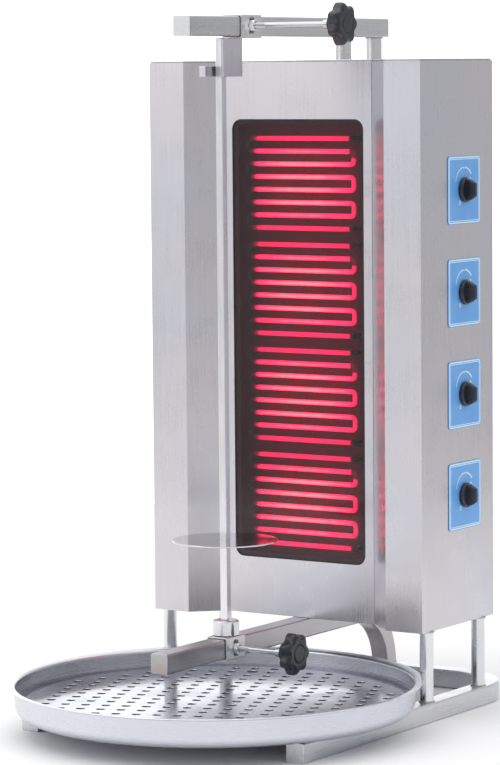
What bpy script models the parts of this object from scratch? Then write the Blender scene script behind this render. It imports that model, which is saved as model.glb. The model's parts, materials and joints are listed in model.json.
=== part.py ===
"""Vertical rotisserie broiler: an electric shawarma and gyro grill on a square-tube stand.

Metres, +Z up, the front of the grill faces -Y. The origin is on the floor, under the
centre of the whole grill. Inside the script every piece is laid out from the front face
of the cabinet's wings (y = 0), and one empty carries the whole layout to the origin.
"""
import math

import bmesh
import bpy
from mathutils import Matrix, Vector

GAP = 0.0003                # clearance between pieces that touch
SHEET = 0.0012              # stainless sheet thickness

# Square-tube stand and arms
TUBE = 0.025
TUBE_WALL = 0.0015
CAP_PLATE = 0.002
BASE_HALF = 0.210           # outer half width of the stand
BASE_FRONT = -0.291
BASE_REAR = 0.261
BASE_BEND = 0.0825          # centreline radius of the rear corners
ARM_FRONT = -0.289
ARM_Z = 0.1029
BEAM_FRONT = -0.226
BEAM_REAR = 0.248
BEAM_Z = 0.8825

# Round posts
POST_RADIUS = 0.0088
HEAD_POST_RADIUS = 0.0105
POST_X = 0.1975
POST_ROWS = {"front": 0.0235, "rear": 0.157}
HEAD_POST_ROWS = {"front": 0.1525, "rear": 0.2303}
ANCHOR_TOP = 0.794

# Cabinet
BODY_HALF = 0.2054
BODY_DEPTH = 0.1841
BODY_BOTTOM = 0.1157
BODY_TOP = 0.8404
ROOF_SHEET = 0.0016
ROOF_SEAM = 0.0008
WING_INNER = 0.1516         # where each wing's front turns in towards the heater
RECESS_HALF = 0.1130
RECESS_DEPTH = 0.036
HOUSING_HALF = 0.150        # narrower wiring housing behind the cabinet
HOUSING_REAR = 0.2475
LIP = 0.0100

# Heater window and elements
GLASS_HALF = 0.0994
GLASS_LOW = 0.191
GLASS_HIGH = 0.764
GLASS_CORNER = 0.013
GLASS_THICK = 0.004
GLASS_FRONT = RECESS_DEPTH + 0.0002
GASKET_THICK = 0.003
ELEMENT_RADIUS = 0.00325
ELEMENT_Y = 0.052
ELEMENT_ENDS = {-1: 0.0775, 1: 0.0690}  # how far a straight pass runs left and right of the centre
ELEMENT_PASSES = 8
ELEMENT_PITCH = 0.01675
ZONES = 4
ZONE_PITCH = 0.138
ZONE_MIDDLE = 0.4743
TERMINAL_X = 0.0750
TERMINAL_END = 0.078
CARRIER_HALF = 0.1065
CARRIER_LOW = 0.1835
CARRIER_HIGH = 0.7715
CARRIER_BACK = 0.066

# Control panel on the right side
CONTROL_Y = 0.1084
CONTROL_TOP_Z = 0.6735
CONTROL_PITCH = 0.1307
PLATE_WIDE = 0.083
PLATE_HIGH = 0.0868
KNOB_RADIUS = 0.0160

# Spit line
SPIT_Y = -0.1398
SPIT_HALF = 0.005
SPIT_TOP = 0.868
CUP_BOTTOM = 0.1180
CUP_TOP = 0.1374
CUP_RADIUS = 0.01675
PIN_Z = 0.2335
PIN_RADIUS = 0.002
DISC_RADIUS = 0.0665
DISC_THICK = 0.002

# Sliding carriages and their clamp screws
SLEEVE_HALF = 0.0148
SLEEVE_BORE = 0.0130
LOWER_SLEEVE = (-0.1610, -0.1185)
UPPER_SLEEVE = (-0.1140, -0.0684)
LOWER_SCREW = {"y": -0.1398, "z": 0.1026, "rod_end": 0.0760}
UPPER_SCREW = {"y": -0.0912, "z": 0.8835, "rod_end": 0.1220}
SCREW_RADIUS = 0.0038
STAR_RADIUS = 0.027
STAR_LOBES = 7

# Drip tray and its loose insert
TRAY_Y = -0.166
TRAY_RIM = 0.2625
TRAY_WALL = 0.252
TRAY_CORNER = 0.014
TRAY_FLOOR = TUBE + GAP
INSERT_RADIUS = 0.2385
INSERT_TOP = 0.040
FINGER_HOLE = (-0.0663, 0.0224)

ORIGIN_SHIFT = -(TRAY_Y - TRAY_RIM + BASE_REAR) / 2


# ---------------------------------------------------------------- scene and materials
def clear_scene():
    for obj in list(bpy.data.objects):
        bpy.data.objects.remove(obj, do_unlink=True)


def material(name, colour, roughness, metallic):
    made = bpy.data.materials.new(name)
    made.use_nodes = True
    shader = made.node_tree.nodes["Principled BSDF"]
    shader.inputs["Base Color"].default_value = (*colour, 1.0)
    shader.inputs["Roughness"].default_value = roughness
    shader.inputs["Metallic"].default_value = metallic
    return made


def body_empty(name, at=(0.0, 0.0, 0.0), parent=None):
    """An empty on a body's joint axis; `at` is in layout coordinates."""
    empty = bpy.data.objects.new(name, None)
    bpy.context.scene.collection.objects.link(empty)
    empty["at"] = at
    if parent is None:
        empty.location = Vector(at) + Vector((0.0, ORIGIN_SHIFT, 0.0))
    else:
        empty.parent = parent
        empty.location = Vector(at) - Vector(parent["at"])
    return empty


def add_node(name, mesh, body, finish):
    """Hang a mesh, built in layout coordinates, on a body's empty."""
    mesh.transform(Matrix.Translation(-Vector(body["at"])))
    mesh.shade_smooth()
    mesh.set_sharp_from_angle(angle=math.radians(32))
    mesh.materials.append(finish)
    obj = bpy.data.objects.new(name, mesh)
    bpy.context.scene.collection.objects.link(obj)
    obj.parent = body
    return obj


def add_cutter(obj, name, mesh, operation="DIFFERENCE"):
    """A hidden helper object and the Boolean that uses it on obj."""
    mesh.transform(Matrix.Translation(-Vector(obj.parent["at"])))
    helper = bpy.data.objects.new(name, mesh)
    bpy.context.scene.collection.objects.link(helper)
    helper.parent = obj.parent
    helper.hide_render = True
    helper.display_type = "WIRE"
    boolean = obj.modifiers.new(name, "BOOLEAN")
    boolean.operation = operation
    boolean.solver = "EXACT"
    boolean.object = helper


# ---------------------------------------------------------------- outlines
def rectangle(low, high):
    return [(low[0], low[1]), (high[0], low[1]), (high[0], high[1]), (low[0], high[1])]


def round_rectangle(low, high, radius, steps=4):
    """Corner arcs joined into one outline, anticlockwise."""
    centres = rectangle((low[0] + radius, low[1] + radius), (high[0] - radius, high[1] - radius))
    outline = []
    for quarter, (cx, cy) in enumerate(centres):
        for step in range(steps + 1):
            angle = math.pi + (quarter + step / steps) * math.pi / 2
            outline.append((cx + radius * math.cos(angle), cy + radius * math.sin(angle)))
    return outline


def circle(radius, sides, phase=0.0):
    angles = [2 * math.pi * (i + phase) / sides for i in range(sides)]
    return [(radius * math.cos(a), radius * math.sin(a)) for a in angles]


def chamfered_square(half, chamfer):
    near = half - chamfer
    return [(half, -near), (half, near), (near, half), (-near, half),
            (-half, near), (-half, -near), (-near, -half), (near, -half)]


def offset_path(path, distance, closed=False):
    """Move a path to the right of its direction by distance, with mitred corners."""
    count = len(path)
    moved = []
    for i, point in enumerate(path):
        before = path[i - 1] if closed or i > 0 else None
        after = path[(i + 1) % count] if closed or i < count - 1 else None
        normals = []
        for start, end in ((before, point), (point, after)):
            if start is not None and end is not None:
                step = Vector((end[0] - start[0], end[1] - start[1])).normalized()
                normals.append(Vector((step.y, -step.x)))
        bisector = sum(normals, Vector((0.0, 0.0))).normalized()
        shift = bisector * (distance / bisector.dot(normals[0]))
        moved.append((point[0] + shift.x, point[1] + shift.y))
    return moved


def sheet_outline(path, thickness=SHEET):
    """Closed outline of a folded sheet whose outer face follows path."""
    return path + offset_path(path, thickness)[::-1]


def body_plan(inset=0.0):
    """The cabinet's plan: two wings, the heater recess and the rear housing."""
    half = [(RECESS_HALF, RECESS_DEPTH), (WING_INNER, 0.0), (BODY_HALF, 0.0),
            (BODY_HALF, BODY_DEPTH), (HOUSING_HALF, BODY_DEPTH), (HOUSING_HALF, HOUSING_REAR)]
    plan = half + [(-x, y) for x, y in reversed(half)]
    return offset_path(plan, -inset, closed=True)


# ---------------------------------------------------------------- solids
def on_plane(outline, axis, height, centre=(0.0, 0.0)):
    """Lift a 2D outline onto the plane across an axis: X gives (y, z), Y (x, z), Z (x, y)."""
    points = []
    for u, v in outline:
        u, v = u + centre[0], v + centre[1]
        points.append({"X": (height, u, v), "Y": (u, height, v), "Z": (u, v, height)}[axis])
    return points


def stack(name, loops, ring=False):
    """Skin a row of equal loops; the ends are capped, or joined to each other in a ring."""
    bm = bmesh.new()
    rows = [[bm.verts.new(point) for point in loop] for loop in loops]
    pairs = list(zip(rows, rows[1:]))
    if ring:
        pairs.append((rows[-1], rows[0]))
    for low, high in pairs:
        for i in range(len(low)):
            j = (i + 1) % len(low)
            bm.faces.new((low[i], low[j], high[j], high[i]))
    if not ring:
        bm.faces.new(rows[0][::-1])
        bm.faces.new(rows[-1])
    bmesh.ops.recalc_face_normals(bm, faces=bm.faces)
    mesh = bpy.data.meshes.new(name)
    bm.to_mesh(mesh)
    bm.free()
    return mesh


def prism(name, outline, axis, low, high):
    return stack(name, [on_plane(outline, axis, low), on_plane(outline, axis, high)])


def block(name, low, high):
    return prism(name, rectangle(low[:2], high[:2]), "Z", low[2], high[2])


def turned(name, profile, axis, centre, sides, ring=False):
    """A turned piece: (radius, height) pairs about an axis through centre."""
    loops = [on_plane(circle(r, sides), axis, height, centre) for r, height in profile]
    return stack(name, loops, ring)


def merge(name, meshes):
    """One mesh that holds several separate closed shapes, for a cutter."""
    bm = bmesh.new()
    for mesh in meshes:
        bm.from_mesh(mesh)
    joined = bpy.data.meshes.new(name)
    bm.to_mesh(joined)
    bm.free()
    return joined


def square_tube(name, stations, across):
    """A hollow square tube through (point, direction) stations in a plane across `across`."""
    outer_loops = []
    inner_loops = []
    side = Vector(across)
    for point, direction in stations:
        up = side.cross(Vector(direction)).normalized()
        for loops, half, chamfer in ((outer_loops, TUBE / 2, 0.0015),
                                     (inner_loops, TUBE / 2 - TUBE_WALL, 0.0006)):
            outline = chamfered_square(half, chamfer)
            loops.append([Vector(point) + side * u + up * v for u, v in outline])
    return stack(name, outer_loops + inner_loops[::-1], ring=True)


def tube_cap(name, axis, centre, outer, inward, body, finish):
    """A closing plate with a plug that reaches into the tube's end."""
    plate = chamfered_square(TUBE / 2, 0.0015)
    plug = chamfered_square(TUBE / 2 - TUBE_WALL - GAP, 0.0008)
    heights = (outer, outer + inward * CAP_PLATE, outer + inward * 0.008)
    loops = [on_plane(plate, axis, heights[0], centre), on_plane(plate, axis, heights[1], centre),
             on_plane(plug, axis, heights[1], centre), on_plane(plug, axis, heights[2], centre)]
    add_node(name, stack(name, loops), body, finish)


# ---------------------------------------------------------------- stand
def build_stand(body, steel):
    leg_x = BASE_HALF - TUBE / 2
    rear_y = BASE_REAR - TUBE / 2
    corner = (leg_x - BASE_BEND, rear_y - BASE_BEND)
    steps = 8
    leg_start = BASE_FRONT + CAP_PLATE + GAP
    right_half = [((leg_x, leg_start, TUBE / 2), (0, 1, 0))]
    for step in range(steps + 1):
        angle = step / steps * math.pi / 2
        point = (corner[0] + BASE_BEND * math.cos(angle), corner[1] + BASE_BEND * math.sin(angle))
        right_half.append(((*point, TUBE / 2), (-math.sin(angle), math.cos(angle), 0)))
    left_half = [((-p[0], p[1], p[2]), (d[0], -d[1], 0)) for p, d in reversed(right_half)]
    add_node("base_frame", square_tube("base_frame", right_half + left_half, (0, 0, 1)), body, steel)
    for side, x in (("left", -leg_x), ("right", leg_x)):
        tube_cap(f"base_end_cap_{side}", "Y", (x, TUBE / 2), BASE_FRONT, 1, body, steel)
    for row, y in POST_ROWS.items():
        for side, x in (("left", -POST_X), ("right", POST_X)):
            name = f"lower_post_{row}_{side}"
            profile = [(POST_RADIUS, TUBE + GAP), (POST_RADIUS, BODY_BOTTOM - GAP)]
            add_node(name, turned(name, profile, "Z", (x, y), 16), body, steel)


def build_arms(body, steel, warm_steel):
    """The lower arm bends down to the stand; the upper beam sits on two head posts."""
    leg_y = BASE_REAR - TUBE / 2
    bend = ARM_Z - TUBE - GAP
    stations = [((0, ARM_FRONT + CAP_PLATE + GAP, ARM_Z), (0, 1, 0))]
    steps = 10
    for step in range(steps + 1):
        angle = step / steps * math.pi / 2
        y = leg_y - bend + bend * math.sin(angle)
        z = ARM_Z - bend + bend * math.cos(angle)
        stations.append(((0, y, z), (0, math.cos(angle), -math.sin(angle))))
    add_node("lower_arm", square_tube("lower_arm", stations, (1, 0, 0)), body, warm_steel)
    tube_cap("lower_arm_cap", "Y", (0, ARM_Z), ARM_FRONT, 1, body, steel)

    inset = CAP_PLATE + GAP
    beam = [((0, BEAM_FRONT + inset, BEAM_Z), (0, 1, 0)), ((0, BEAM_REAR - inset, BEAM_Z), (0, 1, 0))]
    add_node("upper_beam", square_tube("upper_beam", beam, (1, 0, 0)), body, steel)
    tube_cap("upper_beam_cap_front", "Y", (0, BEAM_Z), BEAM_FRONT, 1, body, steel)
    tube_cap("upper_beam_cap_rear", "Y", (0, BEAM_Z), BEAM_REAR, -1, body, steel)
    for row, y in HEAD_POST_ROWS.items():
        name = f"head_post_{row}"
        profile = [(HEAD_POST_RADIUS, ANCHOR_TOP + GAP), (HEAD_POST_RADIUS, BEAM_Z - TUBE / 2 - GAP)]
        add_node(name, turned(name, profile, "Z", (0, y), 16), body, steel)
    back = HOUSING_REAR - SHEET - GAP
    anchor = [(0.130, ANCHOR_TOP - 0.004), (back - 0.003, ANCHOR_TOP - 0.004), (back - 0.003, 0.720),
              (back, 0.720), (back, ANCHOR_TOP), (0.130, ANCHOR_TOP)]
    add_node("post_anchor", prism("post_anchor", anchor, "X", -0.035, 0.035), body, steel)


# ---------------------------------------------------------------- cabinet
def control_heights():
    return [CONTROL_TOP_Z - i * CONTROL_PITCH for i in range(ZONES)]


def build_casings(body, steel):
    side_rear = BODY_DEPTH - SHEET - GAP
    right = [(BODY_HALF, side_rear), (BODY_HALF, 0.0), (WING_INNER, 0.0), (RECESS_HALF, RECESS_DEPTH)]
    left = [(-x, y) for x, y in reversed(right)]
    top = BODY_TOP - ROOF_SHEET - ROOF_SEAM
    for side, path in (("left", left), ("right", right)):
        name = f"casing_{side}"
        casing = add_node(name, prism(name, sheet_outline(path), "Z", BODY_BOTTOM, top), body, steel)
    shaft_holes = [turned("hole", [(0.006, BODY_HALF - 0.01), (0.006, BODY_HALF + 0.01)],
                          "X", (CONTROL_Y, z), 12) for z in control_heights()]
    add_cutter(casing, "shaft_holes", merge("shaft_holes", shaft_holes))


def build_heater_panel(body, steel):
    half = RECESS_HALF - 0.0004
    top = BODY_TOP - ROOF_SHEET - ROOF_SEAM
    panel = block("heater_panel", (-half, RECESS_DEPTH, BODY_BOTTOM), (half, RECESS_DEPTH + SHEET, top))
    panel = add_node("heater_panel", panel, body, steel)
    edge = 0.0004
    window = round_rectangle((-GLASS_HALF - edge, GLASS_LOW - edge), (GLASS_HALF + edge, GLASS_HIGH + edge),
                             GLASS_CORNER + edge, 5)
    add_cutter(panel, "glass_window", prism("glass_window", window, "Y", 0.02, 0.05))


def build_roof(body, steel):
    underside = BODY_TOP - ROOF_SHEET
    lip_end = underside - LIP
    outer = SHEET + GAP + 0.0001
    loops = [on_plane(body_plan(), "Z", BODY_TOP), on_plane(body_plan(), "Z", underside),
             on_plane(body_plan(outer), "Z", underside), on_plane(body_plan(outer), "Z", lip_end),
             on_plane(body_plan(outer + SHEET), "Z", lip_end),
             on_plane(body_plan(outer + SHEET), "Z", underside)]
    roof = add_node("roof_cover", stack("roof_cover", loops), body, steel)
    hole = HEAD_POST_RADIUS + 0.0005
    holes = [turned("hole", [(hole, BODY_TOP - 0.02), (hole, BODY_TOP + 0.01)], "Z", (0.0, y), 16)
             for y in HEAD_POST_ROWS.values()]
    add_cutter(roof, "post_holes", merge("post_holes", holes))


def build_floor(body, steel):
    outer = SHEET + GAP
    plate_top = BODY_BOTTOM + SHEET
    lip_end = BODY_BOTTOM + LIP
    loops = [on_plane(body_plan(outer), "Z", BODY_BOTTOM), on_plane(body_plan(outer), "Z", lip_end),
             on_plane(body_plan(outer + SHEET), "Z", lip_end),
             on_plane(body_plan(outer + SHEET), "Z", plate_top)]
    add_node("floor_pan", stack("floor_pan", loops), body, steel)


def build_back(body, steel, plastic):
    """A hat-shaped back cover with two columns of vents and an empty cable entry."""
    path = [(-BODY_HALF, BODY_DEPTH), (-HOUSING_HALF, BODY_DEPTH), (-HOUSING_HALF, HOUSING_REAR),
            (HOUSING_HALF, HOUSING_REAR), (HOUSING_HALF, BODY_DEPTH), (BODY_HALF, BODY_DEPTH)]
    top = BODY_TOP - ROOF_SHEET - ROOF_SEAM
    cover = prism("back_cover", sheet_outline(path), "Z", BODY_BOTTOM, top)
    cover = add_node("back_cover", cover, body, steel)
    near, far = HOUSING_REAR - 0.01, HOUSING_REAR + 0.01
    cuts = []
    for x in (-0.07, 0.07):
        for row in range(6):
            z = 0.60 + 0.028 * row
            cuts.append(block("vent", (x - 0.035, near, z), (x + 0.035, far, z + 0.006)))
    gland_x, gland_z = -0.100, 0.170
    cuts.append(turned("entry", [(0.0102, near), (0.0102, far)], "Y", (gland_x, gland_z), 16))
    add_cutter(cover, "back_openings", merge("back_openings", cuts))

    face = HOUSING_REAR + GAP
    profile = [(0.0098, face - 0.012), (0.0098, face), (0.0130, face), (0.0130, face + 0.004),
               (0.0105, face + 0.006), (0.0085, face + 0.011), (0.0052, face + 0.011),
               (0.0052, face - 0.012)]
    gland = turned("cable_gland", profile, "Y", (gland_x, gland_z), 16, ring=True)
    add_node("cable_gland", gland, body, plastic)


# ---------------------------------------------------------------- heater
def build_glass(body, glass, gasket_finish):
    front = GLASS_FRONT
    back = front + GLASS_THICK
    edge = 0.0005
    full = round_rectangle((-GLASS_HALF, GLASS_LOW), (GLASS_HALF, GLASS_HIGH), GLASS_CORNER, 5)
    small = round_rectangle((-GLASS_HALF + edge, GLASS_LOW + edge), (GLASS_HALF - edge, GLASS_HIGH - edge),
                            GLASS_CORNER - edge, 5)
    loops = [on_plane(small, "Y", front), on_plane(full, "Y", front + edge),
             on_plane(full, "Y", back - edge), on_plane(small, "Y", back)]
    add_node("glass_panel", stack("glass_panel", loops), body, glass)

    outer = carrier_outline(0.0)
    inner = carrier_outline(0.013)
    near, far = back + GAP, back + GAP + GASKET_THICK
    loops = [on_plane(outer, "Y", near), on_plane(outer, "Y", far),
             on_plane(inner, "Y", far), on_plane(inner, "Y", near)]
    add_node("glass_gasket", stack("glass_gasket", loops, ring=True), body, gasket_finish)


def carrier_outline(inset):
    return round_rectangle((-CARRIER_HALF + inset, CARRIER_LOW + inset),
                           (CARRIER_HALF - inset, CARRIER_HIGH - inset), 0.016 - inset * 0.6, 3)


def zone_heights():
    return [ZONE_MIDDLE + (1.5 - i) * ZONE_PITCH for i in range(ZONES)]


def pass_height(zone_z, index):
    return zone_z + ((ELEMENT_PASSES - 1) / 2 - index) * ELEMENT_PITCH


def build_carrier(body, board):
    """A shallow tray behind the glass that holds the elements and throws heat forward."""
    front = GLASS_FRONT + GLASS_THICK + GASKET_THICK + 2 * GAP
    outer, inner = carrier_outline(0.0), carrier_outline(SHEET)
    loops = [on_plane(outer, "Y", CARRIER_BACK), on_plane(outer, "Y", front),
             on_plane(inner, "Y", front), on_plane(inner, "Y", CARRIER_BACK - SHEET)]
    carrier = add_node("element_carrier", stack("element_carrier", loops), body, board)
    holes = []
    for zone_z in zone_heights():
        for index in (0, ELEMENT_PASSES - 1):
            profile = [(0.0045, CARRIER_BACK - 0.006), (0.0045, CARRIER_BACK + 0.006)]
            holes.append(turned("hole", profile, "Y", (TERMINAL_X, pass_height(zone_z, index)), 10))
    add_cutter(carrier, "terminal_holes", merge("terminal_holes", holes))


def element_route(zone_z):
    """Serpentine of level passes; both terminals turn back through the carrier on the right."""
    bend = ELEMENT_PITCH / 2
    lead = TERMINAL_X - ELEMENT_ENDS[1]
    first, last = pass_height(zone_z, 0), pass_height(zone_z, ELEMENT_PASSES - 1)
    lead_in = [(TERMINAL_X, TERMINAL_END), (TERMINAL_X, ELEMENT_Y + lead),
               (TERMINAL_X - lead * 0.3, ELEMENT_Y + lead * 0.3)]
    route = [(x, y, first) for x, y in lead_in]
    for index in range(ELEMENT_PASSES):
        z = pass_height(zone_z, index)
        side = -1 if index % 2 == 0 else 1
        route += [(-side * ELEMENT_ENDS[-side], ELEMENT_Y, z), (side * ELEMENT_ENDS[side], ELEMENT_Y, z)]
        if index < ELEMENT_PASSES - 1:
            for step in (1, 2, 3):
                angle = step / 4 * math.pi
                x = side * (ELEMENT_ENDS[side] + bend * math.sin(angle))
                route.append((x, ELEMENT_Y, z - bend + bend * math.cos(angle)))
    return route + [(x, y, last) for x, y in reversed(lead_in)]


def build_elements(body, glowing):
    for zone, zone_z in enumerate(zone_heights(), start=1):
        curve = bpy.data.curves.new(f"heater_element_{zone}", "CURVE")
        curve.dimensions = "3D"
        curve.bevel_depth = ELEMENT_RADIUS
        curve.bevel_resolution = 1
        curve.use_fill_caps = True
        route = element_route(zone_z)
        spline = curve.splines.new("POLY")
        spline.points.add(len(route) - 1)
        for point, place in zip(spline.points, route):
            point.co = (*place, 1.0)
        curve.materials.append(glowing)
        element = bpy.data.objects.new(curve.name, curve)
        bpy.context.scene.collection.objects.link(element)
        element.parent = body


def build_terminal_strip(body, ceramic):
    """Eight ridged poles in a row on the housing's back wall."""
    back = HOUSING_REAR - SHEET - GAP
    base, crest = back - 0.016, back - 0.026
    poles, pitch, ridge = 8, 0.015, 0.0035
    outline = [(-poles * pitch / 2, back)]
    for pole in range(poles):
        x = (pole - poles / 2) * pitch
        outline += [(x, crest), (x + ridge, crest), (x + ridge, base), (x + pitch, base)]
    outline += [(poles * pitch / 2, crest), (poles * pitch / 2 + ridge, crest),
                (poles * pitch / 2 + ridge, back)]
    strip = prism("terminal_strip", outline, "Z", 0.300, 0.328)
    add_node("terminal_strip", strip, body, ceramic)


# ---------------------------------------------------------------- controls
def build_controls(root, blue, plastic, black):
    """Four zones: a blue plate and a regulator on the cabinet, and a knob that turns."""
    plate_low = BODY_HALF + GAP
    plate_high = plate_low + 0.0008
    inner_wall = BODY_HALF - SHEET - GAP
    for zone, z in enumerate(control_heights(), start=1):
        centre = (CONTROL_Y, z)
        corner_low = (CONTROL_Y - PLATE_WIDE / 2, z - PLATE_HIGH / 2)
        corner_high = (CONTROL_Y + PLATE_WIDE / 2, z + PLATE_HIGH / 2)
        outline = round_rectangle(corner_low, corner_high, 0.005, 3)
        name = f"control_plate_{zone}"
        plate = add_node(name, prism(name, outline, "X", plate_low, plate_high), root, blue)
        hole = turned("hole", [(0.0055, plate_low - 0.01), (0.0055, plate_high + 0.01)], "X", centre, 12)
        add_cutter(plate, f"plate_hole_{zone}", hole)

        name = f"regulator_{zone}"
        case = round_rectangle((CONTROL_Y - 0.021, z - 0.021), (CONTROL_Y + 0.021, z + 0.021), 0.004, 2)
        regulator = add_node(name, prism(name, case, "X", inner_wall - 0.028, inner_wall), root, plastic)
        bore = turned("bore", [(0.0044, inner_wall - 0.013), (0.0044, inner_wall + 0.01)], "X", centre, 12)
        add_cutter(regulator, f"shaft_bore_{zone}", bore)

        axis_point = (plate_high, CONTROL_Y, z)
        knob_body = body_empty(f"knob_axis_{zone}", axis_point, root)
        back = plate_high + 0.0007
        profile = [(0.0036, inner_wall - 0.012), (0.0036, back), (KNOB_RADIUS, back),
                   (KNOB_RADIUS, back + 0.0030), (KNOB_RADIUS - 0.0012, back + 0.0045),
                   (KNOB_RADIUS - 0.0030, back + 0.0055)]
        name = f"control_knob_{zone}"
        knob = add_node(name, turned(name, profile, "X", centre, 28), knob_body, black)
        grip = round_rectangle((CONTROL_Y - 0.0048, z - 0.0148), (CONTROL_Y + 0.0048, z + 0.0148), 0.003, 2)
        grip_top = round_rectangle((CONTROL_Y - 0.0038, z - 0.0138), (CONTROL_Y + 0.0038, z + 0.0138),
                                   0.0025, 2)
        bar = stack("bar", [on_plane(grip, "X", back + 0.002), on_plane(grip, "X", back + 0.0150),
                            on_plane(grip_top, "X", back + 0.0165)])
        add_cutter(knob, f"grip_bar_{zone}", bar, "UNION")


# ---------------------------------------------------------------- carriages and clamps
def build_sleeve(name, span, centre_z, screw, body, steel):
    """A square sleeve with a hole in its right wall for the clamp screw."""
    outer = chamfered_square(SLEEVE_HALF, 0.0010)
    bore = chamfered_square(SLEEVE_BORE, 0.0008)
    centre = (0.0, centre_z)
    loops = [on_plane(outer, "Y", span[0], centre), on_plane(outer, "Y", span[1], centre),
             on_plane(bore, "Y", span[1], centre), on_plane(bore, "Y", span[0], centre)]
    sleeve = add_node(name, stack(name, loops, ring=True), body, steel)
    hole = turned("hole", [(0.0045, 0.008), (0.0045, 0.02)], "X", (screw["y"], screw["z"]), 12)
    add_cutter(sleeve, f"{name}_hole", hole)


def hexagon(across_flats):
    """Twelve points: the corners and the middles of the flats."""
    flat = across_flats / 2
    points = []
    for i in range(12):
        radius = flat if i % 2 else flat / math.cos(math.pi / 6)
        angle = i * math.pi / 6
        points.append((radius * math.cos(angle), radius * math.sin(angle)))
    return points


def star_outline(scale):
    """Rounded lobes between the tip radius and the valleys."""
    points = []
    count = STAR_LOBES * 6
    for i in range(count):
        angle = 2 * math.pi * i / count
        radius = scale * (STAR_RADIUS - 0.0046 * (0.5 - 0.5 * math.cos(STAR_LOBES * angle)))
        points.append((radius * math.cos(angle), radius * math.sin(angle)))
    return points


def build_clamp(side, screw, carriage, pad_body, screw_body, finishes):
    """Welded nut, brass pad, threaded rod and star knob, all along +X."""
    centre = (screw["y"], screw["z"])
    face = SLEEVE_HALF + GAP
    nut_bore = circle(0.0044, 12)
    nut = stack("nut", [on_plane(hexagon(0.0125), "X", face, centre),
                        on_plane(hexagon(0.0130), "X", face + 0.0006, centre),
                        on_plane(hexagon(0.0130), "X", face + 0.0058, centre),
                        on_plane(hexagon(0.0120), "X", face + 0.0065, centre),
                        on_plane(nut_bore, "X", face + 0.0065, centre),
                        on_plane(nut_bore, "X", face, centre)], ring=True)
    add_node(f"{side}_clamp_nut", nut, carriage, finishes["steel"])

    pad_start = TUBE / 2 + GAP
    pad = [(0.0030, pad_start), (0.0036, pad_start + 0.0006), (0.0036, pad_start + 0.0030)]
    add_node(f"{side}_clamp_pad", turned("pad", pad, "X", centre, 12), pad_body, finishes["brass"])

    rod_end = screw["rod_end"]
    rod = [(0.0030, pad_start + 0.0033), (SCREW_RADIUS, pad_start + 0.0041), (SCREW_RADIUS, rod_end),
           (0.0056, rod_end), (0.0060, rod_end + 0.0004), (0.0060, rod_end + 0.0077)]
    add_node(f"{side}_clamp_screw", turned("rod", rod, "X", centre, 16), screw_body, finishes["steel"])

    hub = rod_end + 0.0080
    hub_circle = circle(0.0100, STAR_LOBES * 6)
    loops = [on_plane(hub_circle, "X", hub, centre), on_plane(hub_circle, "X", hub + 0.0105, centre)]
    for scale, height in ((0.93, 0.0105), (1.0, 0.0125), (1.0, 0.0205), (0.94, 0.0232), (0.80, 0.0262)):
        loops.append(on_plane(star_outline(scale), "X", hub + height, centre))
    add_node(f"{side}_star_knob", stack("star", loops), screw_body, finishes["black"])


def build_head_bracket(body, steel):
    """Folded bracket under the upper sleeve: two cheeks, a web and a slotted top tab."""
    cheek, front_right, front_left, rear = 0.0093, -0.1480, -0.1380, -0.1045
    fold, low = 0.0018, 0.820
    top = BEAM_Z - SLEEVE_HALF - GAP
    path = [(-cheek, front_left), (-cheek, rear), (cheek, rear), (cheek, front_right)]
    bracket = prism("spit_head_bracket", sheet_outline(path, fold), "Z", low, top - 0.0022)
    bracket = add_node("spit_head_bracket", bracket, body, steel)
    slot, slot_end = cheek - fold, -0.1275
    tab = [(-cheek, front_left), (-slot, front_left), (-slot, slot_end), (slot, slot_end),
           (slot, front_right), (cheek, front_right), (cheek, rear), (-cheek, rear)]
    add_cutter(bracket, "top_tab", prism("top_tab", tab, "Z", top - 0.0028, top), "UNION")
    guide = [(-cheek, front_left + 0.002), (-cheek, -0.1612), (-0.0170, -0.1612), (-0.0170, -0.1630),
             (-slot, -0.1630), (-slot, front_left + 0.002)]
    add_cutter(bracket, "guide_lip", prism("guide_lip", guide, "Z", low, low + 0.013), "UNION")


# ---------------------------------------------------------------- spit
def build_cup(body, steel):
    rim, bore = CUP_RADIUS - 0.0016, 0.0055
    floor = CUP_BOTTOM + 0.0085
    profile = [(CUP_RADIUS - 0.001, CUP_BOTTOM), (CUP_RADIUS, CUP_BOTTOM + 0.001),
               (CUP_RADIUS, CUP_TOP - 0.0016), (rim, CUP_TOP), (0.0088, CUP_TOP),
               (bore, CUP_TOP - 0.0035), (bore, floor)]
    add_node("spit_cup", turned("spit_cup", profile, "Z", (0.0, SPIT_Y), 24), body, steel)


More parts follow.
